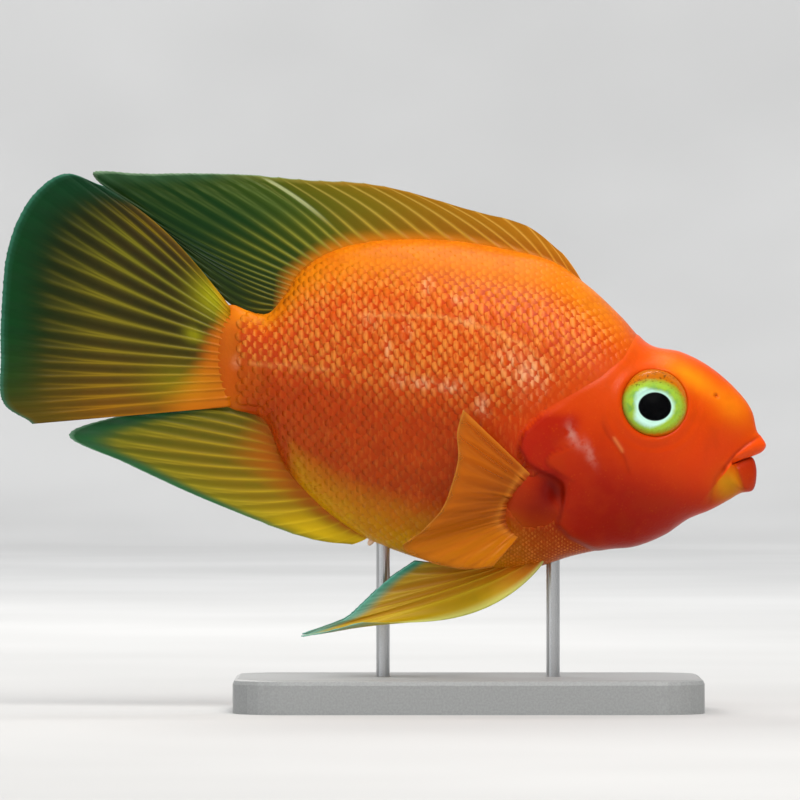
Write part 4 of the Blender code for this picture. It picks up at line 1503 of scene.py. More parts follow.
@dataclass
class Eye:
    """One eye: a flattened ball with iris rings and pupil, under a clear dome."""

    side: Side
    segments: int = 96
    rings: int = 110
    pupil_radius: float = 3.7
    pupil_off: Point2 = (-0.5, -1.1)
    iris_folds: float = 46.0
    dome_radius: float = 7.5
    dome_segments: int = 64
    dome_rings: int = 48
    dome_gap: float = 0.04
    dome_thickness: float = 0.08

    def place(self, local: Array) -> Array:
        """Puts points of the eye in the head.

        Args:
            local: rows of two places across the eye and one outwards, in millimetres.

        Returns:
            Rows of x, y, z in the fish's millimetres.
        """
        low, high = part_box(f"eye_{self.side.word}")
        centre = (np.array(low) + np.array(high)) / 2 / MM - np.array([0.0, 0.0, AXIS_HEIGHT])
        outwards = Matrix.Rotation(-self.side.value * EYE_TURN_OUT, 3, "Z")
        upwards = Matrix.Rotation(-self.side.value * (math.pi / 2 - EYE_TILT_UP), 3, "X")
        return local @ np.array(outwards @ upwards).T + centre

    def dome(self, radius: Array) -> Array:
        """Height of the eye's outer surface at this distance from its axis."""
        return (EYE_HALF_DEPTH - 0.06) * np.sqrt(np.clip(1 - (radius / (EYE_RADIUS - 0.05)) ** 2, 0, 1))

    def relief(self, radius: Array, oval: Array, turn: Array) -> Array:
        """Height of the front of the ball: rim, iris sunk towards the pupil, and its lens.

        Args:
            radius: distance from the ball's axis.
            oval: distance from the pupil's middle, drawn out a little to the sides.
            turn: angle round the ball's axis.

        Returns:
            Height at each place, in millimetres.
        """
        edge = self.pupil_radius
        sunk = 0.45 * ease(7.6, 5.2, radius) + 0.55 * ease(5.0, edge + 0.15, oval)
        lens = 0.6 * ease(edge + 0.1, 0.5, oval)
        lip = 0.10 * np.exp(-(((oval - edge - 0.35) / 0.22) ** 2))
        ring = ease(4.2, 5.2, oval) * ease(7.2, 6.0, radius)
        return self.dome(radius) - sunk + lens + lip + 0.035 * np.cos(turn * self.iris_folds) * ring

    def ball(self, material: Material) -> Object:
        """Makes the ball with its iris and pupil.

        Args:
            material: the eyeball's finish.

        Returns:
            The eyeball.
        """
        name = f"eyeball_{self.side.word}"
        mesh, corners = ball_mesh(name, self.segments, self.rings)
        reach = np.hypot(corners[:, 0], corners[:, 1])
        front = corners[:, 2] >= 0
        # The rings of the front half are spaced evenly from the middle outwards.
        spread = np.where(front, np.arccos(np.clip(corners[:, 2], 0, 1)) / (math.pi / 2), reach)
        radius = spread * (EYE_RADIUS - 0.05)
        flat = corners[:, :2] / np.maximum(reach, 1e-9)[:, None] * radius[:, None]
        off_x = flat[:, 0] - self.pupil_off[0]
        off_y = flat[:, 1] + self.pupil_off[1] * self.side.value
        oval = np.hypot(off_x / 1.07, off_y / 0.9)
        height = self.relief(radius, oval, np.arctan2(corners[:, 1], corners[:, 0]))
        back = -EYE_HALF_DEPTH * 0.9 * np.sqrt(np.clip(1 - spread**2, 0, 1))
        points = self.place(np.column_stack([flat, np.where(front, height, back)]))
        move_corners(mesh, points)
        add_number_layer(mesh, "oval", oval)
        add_number_layer(mesh, "upward", (points[:, 2] - points[:, 2].mean()) / EYE_RADIUS)
        add_number_layer(mesh, "forward", (points[:, 0] - points[:, 0].mean()) / EYE_RADIUS)
        return finish_piece(name, mesh, material, (f"eye_{self.side.word}",))

    def cornea(self, material: Material) -> Object:
        """Makes the clear dome over iris and pupil.

        Args:
            material: the dome's finish.

        Returns:
            The dome.
        """
        name = f"cornea_{self.side.word}"
        mesh, corners = ball_mesh(name, self.dome_segments, self.dome_rings)
        reach = np.hypot(corners[:, 0], corners[:, 1])
        flat = corners[:, :2] / np.maximum(reach, 1e-9)[:, None] * (reach * self.dome_radius)[:, None]
        top = self.dome(reach * self.dome_radius) + self.dome_gap
        under = top - self.dome_thickness * np.sqrt(np.clip(1 - reach**2, 0, 1)) - 0.01
        move_corners(mesh, self.place(np.column_stack([flat, np.where(corners[:, 2] >= 0, top, under)])))
        return finish_piece(name, mesh, material)


@dataclass
class Value:
    """The output of a shader node, which takes part in sums like a number."""

    graph: "Graph"
    socket: bpy.types.NodeSocket

    def __add__(self, other: "Value | float") -> "Value":
        """Sum."""
        return self.graph.math("ADD", self, other)

    __radd__ = __add__

    def __sub__(self, other: "Value | float") -> "Value":
        """Difference."""
        return self.graph.math("SUBTRACT", self, other)

    def __rsub__(self, other: float) -> "Value":
        """Difference from a number."""
        return self.graph.math("SUBTRACT", other, self)

    def __mul__(self, other: "Value | float") -> "Value":
        """Product."""
        return self.graph.math("MULTIPLY", self, other)

    __rmul__ = __mul__

    def __pow__(self, other: "Value | float") -> "Value":
        """Power."""
        return self.graph.math("POWER", self, other)

    def rise(self, low: float, high: float) -> "Value":
        """A smooth rise from 0 at low to 1 at high, or a fall where low is the larger.

        Args:
            low: where it is 0.
            high: where it is 1.

        Returns:
            The height of the rise.
        """
        span = {"interpolation_type": "SMOOTHSTEP", "clamp": True}
        ends = (low, high, 0.0, 1.0) if low < high else (high, low, 1.0, 0.0)
        names = ("From Min", "From Max", "To Min", "To Max")
        sockets = {"Value": self, **dict(zip(names, ends))}
        return self.graph.output("ShaderNodeMapRange", span, sockets, "Result")

    def kept(self) -> "Value":
        """The same value held between 0 and 1."""
        return self.graph.output("ShaderNodeClamp", {}, {"Value": self}, "Result")


class Graph:
    """The shader nodes of one material."""

    def __init__(self, name: str) -> None:
        """Starts an empty material.

        Args:
            name: the material's name.
        """
        self.material = bpy.data.materials.new(name)
        self.material.use_nodes = True
        self.tree = self.material.node_tree
        self.tree.nodes.clear()

    def node(self, kind: str, settings: dict[str, Any], sockets: dict[str | int, Any]) -> Node:
        """Adds any node.

        Args:
            kind: the node's type.
            settings: its own properties, set first; "stops" fills a colour ramp.
            sockets: a value or a link for each of its inputs.

        Returns:
            The node.
        """
        made = self.tree.nodes.new(kind)
        for name, setting in settings.items():
            if name == "stops":
                self._fill_ramp(made.color_ramp, setting)
            else:
                setattr(made, name, setting)
        for name, value in sockets.items():
            socket = made.inputs[name]
            if isinstance(value, Value):
                self.tree.links.new(value.socket, socket)
            elif socket.type == "RGBA":
                socket.default_value = (*value, 1.0)
            else:
                socket.default_value = value
        return made

    def _fill_ramp(self, ramp: bpy.types.ColorRamp, stops: Stops) -> None:
        """Gives a ramp these stops.

        Args:
            ramp: the ramp.
            stops: place and colour of each stop, in rising order.
        """
        while len(ramp.elements) < len(stops):
            ramp.elements.new(0.5)
        for element, (place, colour) in zip(ramp.elements, stops):
            element.position = place
            element.color = (*colour, 1.0)

    def output(
        self, kind: str, settings: dict[str, Any], sockets: dict[str | int, Any], name: str | int = 0
    ) -> Value:
        """Adds any node and gives one of its outputs."""
        return Value(self, self.node(kind, settings, sockets).outputs[name])

    def math(self, operation: str, first: Any, second: Any) -> Value:
        """Adds a Math node."""
        return self.output("ShaderNodeMath", {"operation": operation}, {0: first, 1: second})

    def layer(self, name: str) -> Value:
        """Reads a number that the mesh keeps under this name."""
        return self.output("ShaderNodeAttribute", {"attribute_name": name}, {}, "Fac")

    def ramp(self, place: Value, *stops: tuple[float, Colour]) -> Value:
        """A colour that changes with a value."""
        return self.output("ShaderNodeValToRGB", {"stops": stops}, {"Fac": place}, "Color")

    def mix(self, share: Any, first: Any, second: Any) -> Value:
        """Mixes two colours."""
        settings = {"data_type": "RGBA", "blend_type": "MIX", "clamp_factor": True}
        return self.output("ShaderNodeMix", settings, {0: share, 6: first, 7: second}, 2)

    def place(self) -> Value:
        """Object coordinates, in metres."""
        return self.output("ShaderNodeTexCoord", {}, {}, "Object")

    def noise(self, size: float, detail: float = 2.0, stretch: Point3 = (1.0, 1.0, 1.0)) -> Value:
        """Soft noise.

        Args:
            size: about how many millimetres its grain measures.
            detail: how many finer grains lie on it.
            stretch: how many times finer it is along each axis.

        Returns:
            The noise, about 0.5.
        """
        spread = self.output("ShaderNodeMapping", {}, {"Vector": self.place(), "Scale": stretch}, "Vector")
        sockets = {"Vector": spread, "Scale": 1.0 / (size * MM), "Detail": detail, "Roughness": 0.55}
        return self.output("ShaderNodeTexNoise", {}, sockets, 0)

    def cells(self, size: float) -> Value:
        """Distance to the middles of scattered cells of about this many millimetres."""
        sockets = {"Vector": self.place(), "Scale": 1.0 / (size * MM)}
        return self.output("ShaderNodeTexVoronoi", {}, sockets, "Distance")

    def bump(self, height: Value, depth: float, strength: float) -> Value:
        """A normal from a height; depth is in millimetres."""
        sockets = {"Height": height, "Distance": depth * MM, "Strength": strength}
        return self.output("ShaderNodeBump", {}, sockets, "Normal")

    def finish(self, shader: Node) -> Material:
        """Ends the graph in this shader."""
        end = self.node("ShaderNodeOutputMaterial", {}, {})
        self.tree.links.new(shader.outputs[0], end.inputs["Surface"])
        return self.material

    def principled(self, sockets: dict[str | int, Any]) -> Material:
        """Ends the graph in a Principled shader with these sockets."""
        return self.finish(self.node("ShaderNodeBsdfPrincipled", {}, sockets))


@dataclass(frozen=True)
class FleshFinish:
    """Moist skin and scales, painted by the markings, with painted shade in hollows and creases and painted
    highlights on the scales.
    """

    belly: Colour = (0.66, 0.34, 0.002)
    # painted shade on the front part of each scale, under the rim of the one before
    gap: Colour = (0.52, 0.032, 0.001)
    lower: Colour = (0.40, 0.042, 0.001)
    flank: Colour = (0.43, 0.036, 0.001)
    upper: Colour = (0.62, 0.060, 0.001)
    high: Colour = (0.76, 0.068, 0.001)
    back: Colour = (0.90, 0.235, 0.002)
    head_low: Colour = (0.40, 0.011, 0.0005)
    head_middle: Colour = (0.60, 0.040, 0.001)
    head_high: Colour = (0.76, 0.078, 0.001)
    cheek: Colour = (0.33, 0.007, 0.0005)
    # yellow-orange of the brow spots, partly a painted highlight on the raised brow; also the pale grains of
    # the bare skin
    brow: Colour = (1.0, 0.30, 0.004)
    membrane: Colour = (0.42, 0.009, 0.001)
    # painted shade colour of the hollow behind the gill cover and of the gill opening
    axil: Colour = (0.19, 0.004, 0.001)
    lobe: Colour = (0.31, 0.014, 0.001)
    lip_upper: Colour = (0.95, 0.085, 0.004)
    lip_lower: Colour = (0.44, 0.022, 0.002)
    root: Colour = (0.54, 0.125, 0.001)
    jaw: Colour = (0.80, 0.058, 0.001)
    breast: Colour = (0.42, 0.042, 0.001)
    chin: Colour = (0.60, 0.27, 0.003)
    stem: Colour = (0.50, 0.085, 0.001)
    fleck: Colour = (0.95, 0.44, 0.22)
    lilac: Colour = (0.62, 0.30, 0.24)
    line: Colour = (0.95, 0.38, 0.10)
    # painted highlight colour of the scales' rims and streaks
    glint: Colour = (1.0, 0.33, 0.05)
    # painted shade colour of folds, creases and the nostril
    dark: Colour = (0.20, 0.008, 0.001)
    roughness: float = 0.36
    coat: float = 0.03

    def make(self, plated: bool) -> Material:
        """Builds the material.

        Args:
            plated: whether it is for the scales, not the bare skin under and before them.

        Returns:
            The material.
        """
        graph = Graph("scales" if plated else "skin")
        level = graph.layer("level")
        body = graph.ramp(
            level, (0.02, self.belly), (0.2, self.lower), (0.43, self.flank), (0.63, self.upper),
            (0.8, self.high), (0.91, self.back),
        )
        head = graph.ramp(level, (0.12, self.head_low), (0.45, self.head_middle), (0.8, self.head_high))
        colour = graph.mix(graph.layer(Mark.HEAD.value), body, head)
        washes = (
            (Mark.ROOT, self.root, 0.9),
            (Mark.JAW, self.jaw, 0.7),
            (Mark.BREAST, self.breast, 0.85),
            (Mark.CHEEK, self.cheek, 0.85),
            # Brow spots: the fish's yellow tone, partly a painted highlight on the raised brow above the
            # eye.
            (Mark.BROW, self.brow, 0.9),
            (Mark.STEM, self.stem, 0.8),
            (Mark.CHIN, self.chin, 0.9),
            (Mark.LIP_UPPER, self.lip_upper, 0.85),
            (Mark.LIP_LOWER, self.lip_lower, 0.85),
            (Mark.MEMBRANE, self.membrane, 0.9),
            (Mark.LOBE, self.lobe, 0.85),
        )
        for mark, paint, strength in washes:
            colour = graph.mix(graph.layer(mark.value) * strength, colour, paint)
        cloud = graph.noise(9.0, 3.0)
        colour = graph.mix(cloud.rise(0.42, 0.72) * 0.22, colour, self.upper)
        colour = graph.mix(cloud.rise(0.5, 0.3) * 0.2, colour, self.lower)
        patchy = graph.noise(2.6, 3.0).rise(0.34, 0.62)
        fleck = graph.mix(graph.layer(Mark.HEAD.value), self.fleck, self.lilac)
        colour = graph.mix(graph.layer(Mark.FLECK.value) * patchy * (0.35 if plated else 0.8), colour, fleck)
        colour = graph.mix(graph.layer(Mark.LINE.value) * 0.6, colour, self.line)
        if plated:
            colour, bump = self._plates(graph, colour)
        else:
            colour, bump = self._bare(graph, colour)
        # Painted shade in the hollow behind the gill cover and along the gill opening.
        colour = graph.mix(graph.layer(Mark.AXIL.value) * 0.95, colour, self.axil)
        # Painted shade in the skin's folds, creases and nostril.
        colour = graph.mix(graph.layer(Mark.DARK.value) * 0.55, colour, self.dark)
        return graph.principled({
            "Base Color": colour,
            "Roughness": graph.noise(4.0) * 0.16 + (self.roughness - 0.08),
            "IOR": 1.33,
            "Specular IOR Level": 0.18,
            "Coat Weight": self.coat,
            "Coat Roughness": 0.12,
            "Subsurface Weight": 0.1,
            "Subsurface Radius": (1.0, 0.3, 0.08),
            "Subsurface Scale": 0.0012,
            "Normal": bump,
        })

    def _plates(self, graph: Graph, colour: Value) -> tuple[Value, Value]:
        """Darker roots and rear edges as painted shade, and paler rims and fine streaks as painted
        highlights, on each scale.

        Args:
            graph: the material's nodes.
            colour: the flesh's colour.

        Returns:
            The scales' colour and their fine bump.
        """
        back, across, chance = graph.layer("back_share"), graph.layer("across_share"), graph.layer("chance")
        level, fleck = graph.layer("level"), graph.layer(Mark.FLECK.value)
        upper = level.rise(0.42, 0.62) * level.rise(0.95, 0.84) * graph.layer(Mark.HEAD.value).rise(0.8, 0.1)
        colour = graph.mix(chance.rise(0.45, 1.0) * 0.16, colour, self.high)
        colour = graph.mix(chance.rise(0.4, 0.0) * 0.16, colour, self.lower)
        # Painted shade: the front part of each scale, which lies under the rim of the one before, is
        # darkened, most on the upper flank.
        gap = back.rise(0.72, 0.46) * (upper * 0.6 + 0.12)
        colour = graph.mix(gap, colour, self.gap)
        # Painted highlight: a bright crescent near each scale's rear edge, where it would catch the light,
        # strongest on the upper flank and breast.
        rim_highlight = back.rise(0.58, 0.76) * back.rise(0.99, 0.90) * (1.0 - (across * across).kept() * 0.9)
        breast = graph.layer(Mark.BREAST.value)
        ripple = graph.noise(1.5, 2.0, (1.0, 1.0, 0.45)).rise(0.36, 0.62)
        shine = rim_highlight * (upper * 0.55 + breast * 0.4 + 0.07) * (ripple * 0.9 + 0.2)
        colour = graph.mix(shine.kept(), colour, self.glint)
        # The same painted highlight turns pale pink where the flecks lie.
        colour = graph.mix((fleck * rim_highlight * ripple * 1.2).kept(), colour, self.fleck)
        patch = fleck.rise(0.5, 0.95) * graph.noise(2.0, 3.0).rise(0.4, 0.6) * 0.7
        colour = graph.mix(patch.kept(), colour, self.fleck)
        # Painted shade: a dark line along each scale's rear edge, where it steps down onto the scale behind.
        colour = graph.mix(back.rise(0.94, 1.0) * (upper * 0.25 + 0.06), colour, self.lower)
        colour = graph.mix(graph.layer(Mark.LINE.value) * ripple * 0.5, colour, self.line)
        # Fine streaks: a real fine bump, and a faint painted highlight in the glint colour along them.
        streaks = graph.noise(0.9, 3.0, (1.3, 1.0, 0.3))
        return graph.mix(streaks.rise(0.5, 0.8) * 0.16, colour, self.glint), graph.bump(streaks, 0.08, 0.3)

    def _bare(self, graph: Graph, colour: Value) -> tuple[Value, Value]:
        """Fine pores and pale grains on the bare skin of the head.

        Args:
            graph: the material's nodes.
            colour: the flesh's colour.

        Returns:
            The skin's colour and its fine bump.
        """
        grains = graph.cells(0.85).rise(0.34, 0.12)
        colour = graph.mix(grains * graph.noise(3.0, 2.0).rise(0.4, 0.7) * 0.06, colour, self.brow)
        pores = graph.noise(0.7, 3.0) + graph.noise(2.6, 2.0) * 0.8
        return colour, graph.bump(pores, 0.16, 0.45)


@dataclass(frozen=True)
class FinFinish:
    """Tinted membrane between paler rays, clearer towards its margin.

    Stops run from the first ray, 0, to the last, 1: webs and rays near the root, and
    far_webs and far_rays towards the tips.
    """

    name: str
    webs: Stops
    far_webs: Stops
    rays: Stops
    far_rays: Stops
    edges: Stops
    base: Colour
    glow: Colour
    rim: Colour
    ray_share: float = 0.8
    web_alpha: float = 0.9
    edge_alpha: float = 0.6

    def make(self) -> Material:
        """Builds the material from the fin's tones.

        Returns:
            The material.
        """
        graph = Graph(self.name)
        place, along, rear = graph.layer("place"), graph.layer("along"), graph.layer("rear")
        clear, base, glow = graph.layer("edge"), graph.layer("base"), graph.layer("glow")
        ray, band = graph.layer("ray"), graph.layer("band")
        far_web = graph.ramp(place, *self.far_webs)
        colour = graph.mix(rear, graph.ramp(place, *self.webs), far_web)
        colour = graph.mix(graph.noise(3.0, 3.0).rise(0.45, 0.7) * 0.25, colour, far_web)
        colour = graph.mix(base, colour, self.base)
        colour = graph.mix(glow * 0.8, colour, self.glow)
        ray_colour = graph.mix(rear, graph.ramp(place, *self.rays), graph.ramp(place, *self.far_rays))
        ray_colour = graph.mix(glow * 0.6, ray_colour, self.glow)
        shown = (band * 0.4 + ray * 0.6) * self.ray_share * (1.0 - clear) * (1.0 - base * 0.9)
        colour = graph.mix(shown.kept(), colour, ray_colour)
        colour = graph.mix(clear, colour, graph.ramp(place, *self.edges))
        colour = graph.mix(graph.layer("rim") * 0.8, colour, self.rim)
        alpha = self.web_alpha + (self.edge_alpha - self.web_alpha) * clear
        alpha = (alpha + band * 0.12 + along.rise(0.3, 0.0) * 0.3 + graph.layer("rim") * 0.2).kept()
        return graph.principled({
            "Base Color": colour, "Roughness": 0.38, "IOR": 1.35, "Specular IOR Level": 0.25,
            "Alpha": alpha, "Normal": graph.bump(graph.noise(0.6, 2.0), 0.06, 0.3),
        })


@dataclass(frozen=True)
class EyeFinish:
    """Black pupil, pale ring, yellow-green iris and an orange-brown rim."""

    pupil: Colour = (0.0015, 0.0015, 0.002)
    pale: Colour = (0.58, 0.90, 0.76)
    green: Colour = (0.19, 0.42, 0.07)
    lime: Colour = (0.36, 0.57, 0.05)
    olive: Colour = (0.36, 0.36, 0.02)
    orange: Colour = (0.62, 0.14, 0.003)
    amber: Colour = (0.58, 0.15, 0.003)
    wide: float = (EYE_RADIUS / 7.6) ** 2
    tall: float = (EYE_RADIUS / 6.2) ** 2
    speck: Colour = (0.06, 0.03, 0.004)

    def make(self) -> Material:
        """Builds the eyeball's material.

        Returns:
            The material.
        """
        graph = Graph("eyeball")
        oval, upward, forward = graph.layer("oval"), graph.layer("upward"), graph.layer("forward")
        grain, cloud = graph.noise(0.9, 4.0), graph.noise(1.8, 3.0)
        aside, above = forward + 0.06, upward + 0.09
        ring = (aside * aside * self.wide + above * above * self.tall) ** 0.5 + (grain - 0.5) * 0.12
        rear_top = upward.rise(-0.2, 0.5) * forward.rise(0.1, -0.45)
        rear_low = upward.rise(-0.1, -0.5) * forward.rise(0.45, -0.2)
        near = oval + (grain - 0.5) * 0.8 - (rear_top + rear_low) * 1.2
        colour = graph.mix(cloud.rise(0.38, 0.62), self.green, self.lime)
        colour = graph.mix(ring.rise(0.66, 0.86) * 0.7, colour, self.lime)
        colour = graph.mix(near.rise(4.95, 3.75), colour, self.pale)
        colour = graph.mix(ring.rise(0.84, 1.0), colour, self.olive)
        outside = graph.mix(upward.rise(0.1, 0.6), self.orange, self.amber)
        colour = graph.mix(ring.rise(0.97, 1.10), colour, outside)
        specks = graph.noise(0.5, 2.0).rise(0.57, 0.66) * (upward.rise(0.3, 0.8) * 0.6 + 0.25)
        colour = graph.mix(specks * ring.rise(0.7, 0.95), colour, self.speck)
        colour = graph.mix(oval.rise(3.86, 3.58), colour, self.pupil)
        return graph.principled({
            "Base Color": colour, "Roughness": 0.45, "IOR": 1.2, "Specular IOR Level": 0.1,
            "Normal": graph.bump(grain, 0.1, 0.4),
        })


def clear_dome() -> Material:
    """The cornea's material: see-through but for its gloss.

    Returns:
        The material.
    """
    graph = Graph("cornea")
    gloss = graph.output("ShaderNodeBsdfGlossy", {}, {"Color": (1.0, 1.0, 1.0), "Roughness": 0.09})
    clear = graph.output("ShaderNodeBsdfTransparent", {}, {"Color": (1.0, 1.0, 1.0)})
    share = graph.output("ShaderNodeFresnel", {}, {"IOR": 1.3}) * 0.04
    return graph.finish(graph.node("ShaderNodeMixShader", {}, {0: share, 1: clear, 2: gloss}))


@dataclass(frozen=True)
class PaintFinish:
    """Satin paint or satin metal with a faint grain."""

    name: str
    colour: Colour
    roughness: float
    metallic: float = 0.0
    grain: float = 0.5

    def make(self) -> Material:
        """Builds the material.

        Returns:
            The material.
        """
        graph = Graph(self.name)
        grain = graph.noise(self.grain, 3.0)
        darker = tuple(0.86 * part for part in self.colour)
        return graph.principled({
            "Base Color": graph.mix(grain.rise(0.3, 0.7), darker, self.colour),
            "Roughness": grain * 0.12 + (self.roughness - 0.06), "Metallic": self.metallic,
            "Normal": graph.bump(grain, 0.03, 0.4),
        })


VENT_X = -2.6
VENT_SIZE = (0.75, 0.75, 1.5)
VENT_TILT = math.radians(35)


@dataclass
class Fish:
    """The whole animal."""

    flesh: FleshFinish = FleshFinish()

    def build(self) -> None:
        """Builds skin, scales, eyes and fins."""
        body = Body()
        markings = Markings(body)
        skin = Skin(body, markings)
        skin.build()
        solids = ("head", "lower_jaw", "gill_cover_right", "gill_cover_left", "trunk", "tail_stem")
        finish_piece("skin_of_the_body", skin.mesh, self.flesh.make(plated=False), solids)
        self.build_scales(SurfaceMap(body), markings)
        self.build_eyes()
        self.build_fins(skin)
        self.build_vent(skin)

    def build_scales(self, surface: SurfaceMap, markings: Markings) -> None:
        """Lays the scales of both sides.

        Args:
            surface: the body's net.
            markings: the markings that the scales carry.
        """
        coat = ScaleCoat(surface, markings)
        material = self.flesh.make(plated=True)
        flank = FlankScales(
            "scales_of_the_flank", pitch=2.5, row_pitch=1.4, length=4.3, width=3.8, lift=0.30, seed=11
        )
        breast = BreastScales(
            "scales_of_the_breast", pitch=1.4, row_pitch=0.75, length=2.3, width=2.0, lift=0.30, seed=12
        )
        for side in Side:
            for patch in (flank, breast):
                mesh = coat.build(patch, side)
                finish_piece(mesh.name, mesh, material)

    def build_eyes(self) -> None:
        """Sets both eyes in the head."""
        iris, dome = EyeFinish().make(), clear_dome()
        for side in Side:
            eye = Eye(side)
            eye.ball(iris)
            eye.cornea(dome)

    def build_fins(self, skin: Skin) -> None:
        """Hangs every fin on the body.

        Args:
            skin: the body's skin.
        """
        dorsal = DorsalFin(
            "dorsal_fin", rays=30, rows=34, spines=0.448, lines=DORSAL_RAYS, bows=DORSAL_BOWS,
            sway=3.5, skin=skin, seed=21,
        )
        anal = AnalFin(
            "anal_fin", rays=16, rows=34, spines=0.3, lines=ANAL_RAYS, bows=ANAL_BOWS,
            sway=2.5, skin=skin, seed=22,
        )
        for fin, finish in ((dorsal, DORSAL_FINISH), (anal, ANAL_FINISH)):
            fin.find_roots()
            fin.build(finish.make())
        caudal = CaudalFin("caudal_fin", rays=17, rows=48, columns=12, root_thickness=2.6, seed=23)
        caudal.build(CAUDAL_FINISH.make())
        breast, belly = PECTORAL_FINISH.make(), PELVIC_FINISH.make()
        for side in Side:
            pectoral = PectoralFin(
                f"pectoral_fin_{side.word}", rays=13, rows=34, columns=10, side=side,
                lines=PECTORAL_RAYS, skin=skin, seed=24, ray_thickness=0.7, web_thickness=0.25,
            )
            pelvic = PelvicFin(
                f"pelvic_fin_{side.word}", rays=6, rows=44, columns=16, side=side,
                lines=PELVIC_RAYS, skin=skin, seed=25, ray_thickness=0.9,
            )
            for fin, material in ((pectoral, breast), (pelvic, belly)):
                fin.find_roots()
                fin.build(material)

    def build_vent(self, skin: Skin) -> None:
        """Adds the small pale papilla behind the belly.

        Args:
            skin: the body's skin.
        """
        foot, _ = skin.cast(np.array([VENT_X, 0.0, -OUTSIDE]), np.array([VENT_X, 0.0, 0.0]))
        shape = bmesh.new()
        bmesh.ops.create_uvsphere(shape, u_segments=24, v_segments=18, radius=1.0)
        bmesh.ops.scale(shape, verts=shape.verts, vec=Vector(VENT_SIZE) * MM)
        bmesh.ops.rotate(shape, verts=shape.verts, matrix=Matrix.Rotation(VENT_TILT, 3, "Y"))
        bmesh.ops.translate(shape, verts=shape.verts, vec=Vector(to_world(foot)))
        mesh = bpy.data.meshes.new("vent_papilla")
        shape.to_mesh(mesh)
        shape.free()
        finish_piece("vent_papilla", mesh, PaintFinish("papilla", (0.9, 0.62, 0.42), 0.35).make())


DORSAL_FINISH = FinFinish(
    "dorsal_web",
    webs=(
        (0.0, (0.42, 0.12, 0.002)), (0.2, (0.33, 0.115, 0.002)), (0.34, (0.21, 0.115, 0.001)),
        (0.46, (0.08, 0.09, 0.001)), (0.6, (0.020, 0.045, 0.001)), (0.8, (0.012, 0.026, 0.001)),
        (1.0, (0.022, 0.028, 0.001)),
    ),
    far_webs=(
        (0.0, (0.50, 0.17, 0.003)), (0.2, (0.34, 0.15, 0.002)), (0.34, (0.17, 0.13, 0.002)),
        (0.46, (0.045, 0.08, 0.002)), (0.6, (0.003, 0.032, 0.002)), (0.8, (0.002, 0.020, 0.002)),
        (1.0, (0.014, 0.024, 0.001)),
    ),
    rays=(
        (0.0, (0.72, 0.30, 0.02)), (0.35, (0.56, 0.36, 0.03)), (0.5, (0.34, 0.32, 0.03)),
        (0.75, (0.20, 0.22, 0.015)), (1.0, (0.24, 0.20, 0.01)),
    ),
    far_rays=(
        (0.0, (0.80, 0.38, 0.05)), (0.35, (0.46, 0.34, 0.05)), (0.5, (0.11, 0.16, 0.03)),
        (0.7, (0.025, 0.06, 0.008)), (1.0, (0.04, 0.06, 0.006)),
    ),
    edges=(
        (0.0, (0.60, 0.24, 0.01)), (0.25, (0.52, 0.22, 0.01)), (0.42, (0.22, 0.22, 0.03)),
        (0.55, (0.03, 0.09, 0.03)), (1.0, (0.012, 0.06, 0.02)),
    ),
    base=(0.62, 0.19, 0.002), glow=(0.60, 0.66, 0.34), rim=(0.22, 0.34, 0.20), ray_share=0.9,
    web_alpha=0.985, edge_alpha=0.9,
)
ANAL_FINISH = FinFinish(
    "anal_web",
    webs=(
        (0.0, (0.48, 0.24, 0.003)), (0.35, (0.28, 0.16, 0.002)), (0.6, (0.16, 0.11, 0.002)),
        (1.0, (0.10, 0.08, 0.002)),
    ),
    far_webs=(
        (0.0, (0.42, 0.30, 0.004)), (0.4, (0.22, 0.19, 0.003)), (0.7, (0.07, 0.09, 0.003)),
        (1.0, (0.03, 0.065, 0.003)),
    ),
    rays=(
        (0.0, (0.72, 0.46, 0.01)), (0.4, (0.58, 0.38, 0.012)), (1.0, (0.38, 0.26, 0.01)),
    ),
    far_rays=(
        (0.0, (0.70, 0.52, 0.02)), (0.4, (0.42, 0.34, 0.02)), (1.0, (0.18, 0.17, 0.01)),
    ),
    edges=(
        (0.0, (0.28, 0.28, 0.05)), (0.4, (0.03, 0.13, 0.04)), (1.0, (0.002, 0.075, 0.02)),
    ),
    base=(0.46, 0.10, 0.001), glow=(0.78, 0.52, 0.003), rim=(0.26, 0.48, 0.32), ray_share=0.8,
    web_alpha=0.975, edge_alpha=0.85,
)
CAUDAL_FINISH = FinFinish(
    "caudal_web",
    webs=(
        (0.0, (0.09, 0.045, 0.001)), (0.08, (0.028, 0.018, 0.001)), (0.5, (0.026, 0.022, 0.001)),
        (0.75, (0.07, 0.04, 0.001)), (1.0, (0.20, 0.07, 0.001)),
    ),
    far_webs=(
        (0.0, (0.012, 0.016, 0.001)), (0.3, (0.004, 0.012, 0.001)), (0.6, (0.006, 0.020, 0.001)),
        (0.8, (0.04, 0.036, 0.001)), (1.0, (0.11, 0.065, 0.001)),
    ),
    rays=(
        (0.0, (0.26, 0.15, 0.002)), (0.2, (0.21, 0.20, 0.010)), (0.6, (0.26, 0.20, 0.010)),
        (0.85, (0.38, 0.21, 0.006)), (1.0, (0.44, 0.17, 0.002)),
    ),
    far_rays=(
        (0.0, (0.03, 0.03, 0.001)), (0.3, (0.018, 0.028, 0.002)), (0.6, (0.03, 0.036, 0.002)),
        (0.85, (0.09, 0.065, 0.002)), (1.0, (0.17, 0.09, 0.002)),
    ),
    edges=(
        (0.0, (0.001, 0.036, 0.010)), (0.6, (0.001, 0.042, 0.006)), (0.85, (0.02, 0.05, 0.003)),
        (1.0, (0.09, 0.06, 0.002)),
    ),
    base=(0.54, 0.125, 0.001), glow=(0.44, 0.41, 0.002), rim=(0.05, 0.22, 0.14), ray_share=0.92,
    web_alpha=0.99, edge_alpha=0.92,
)
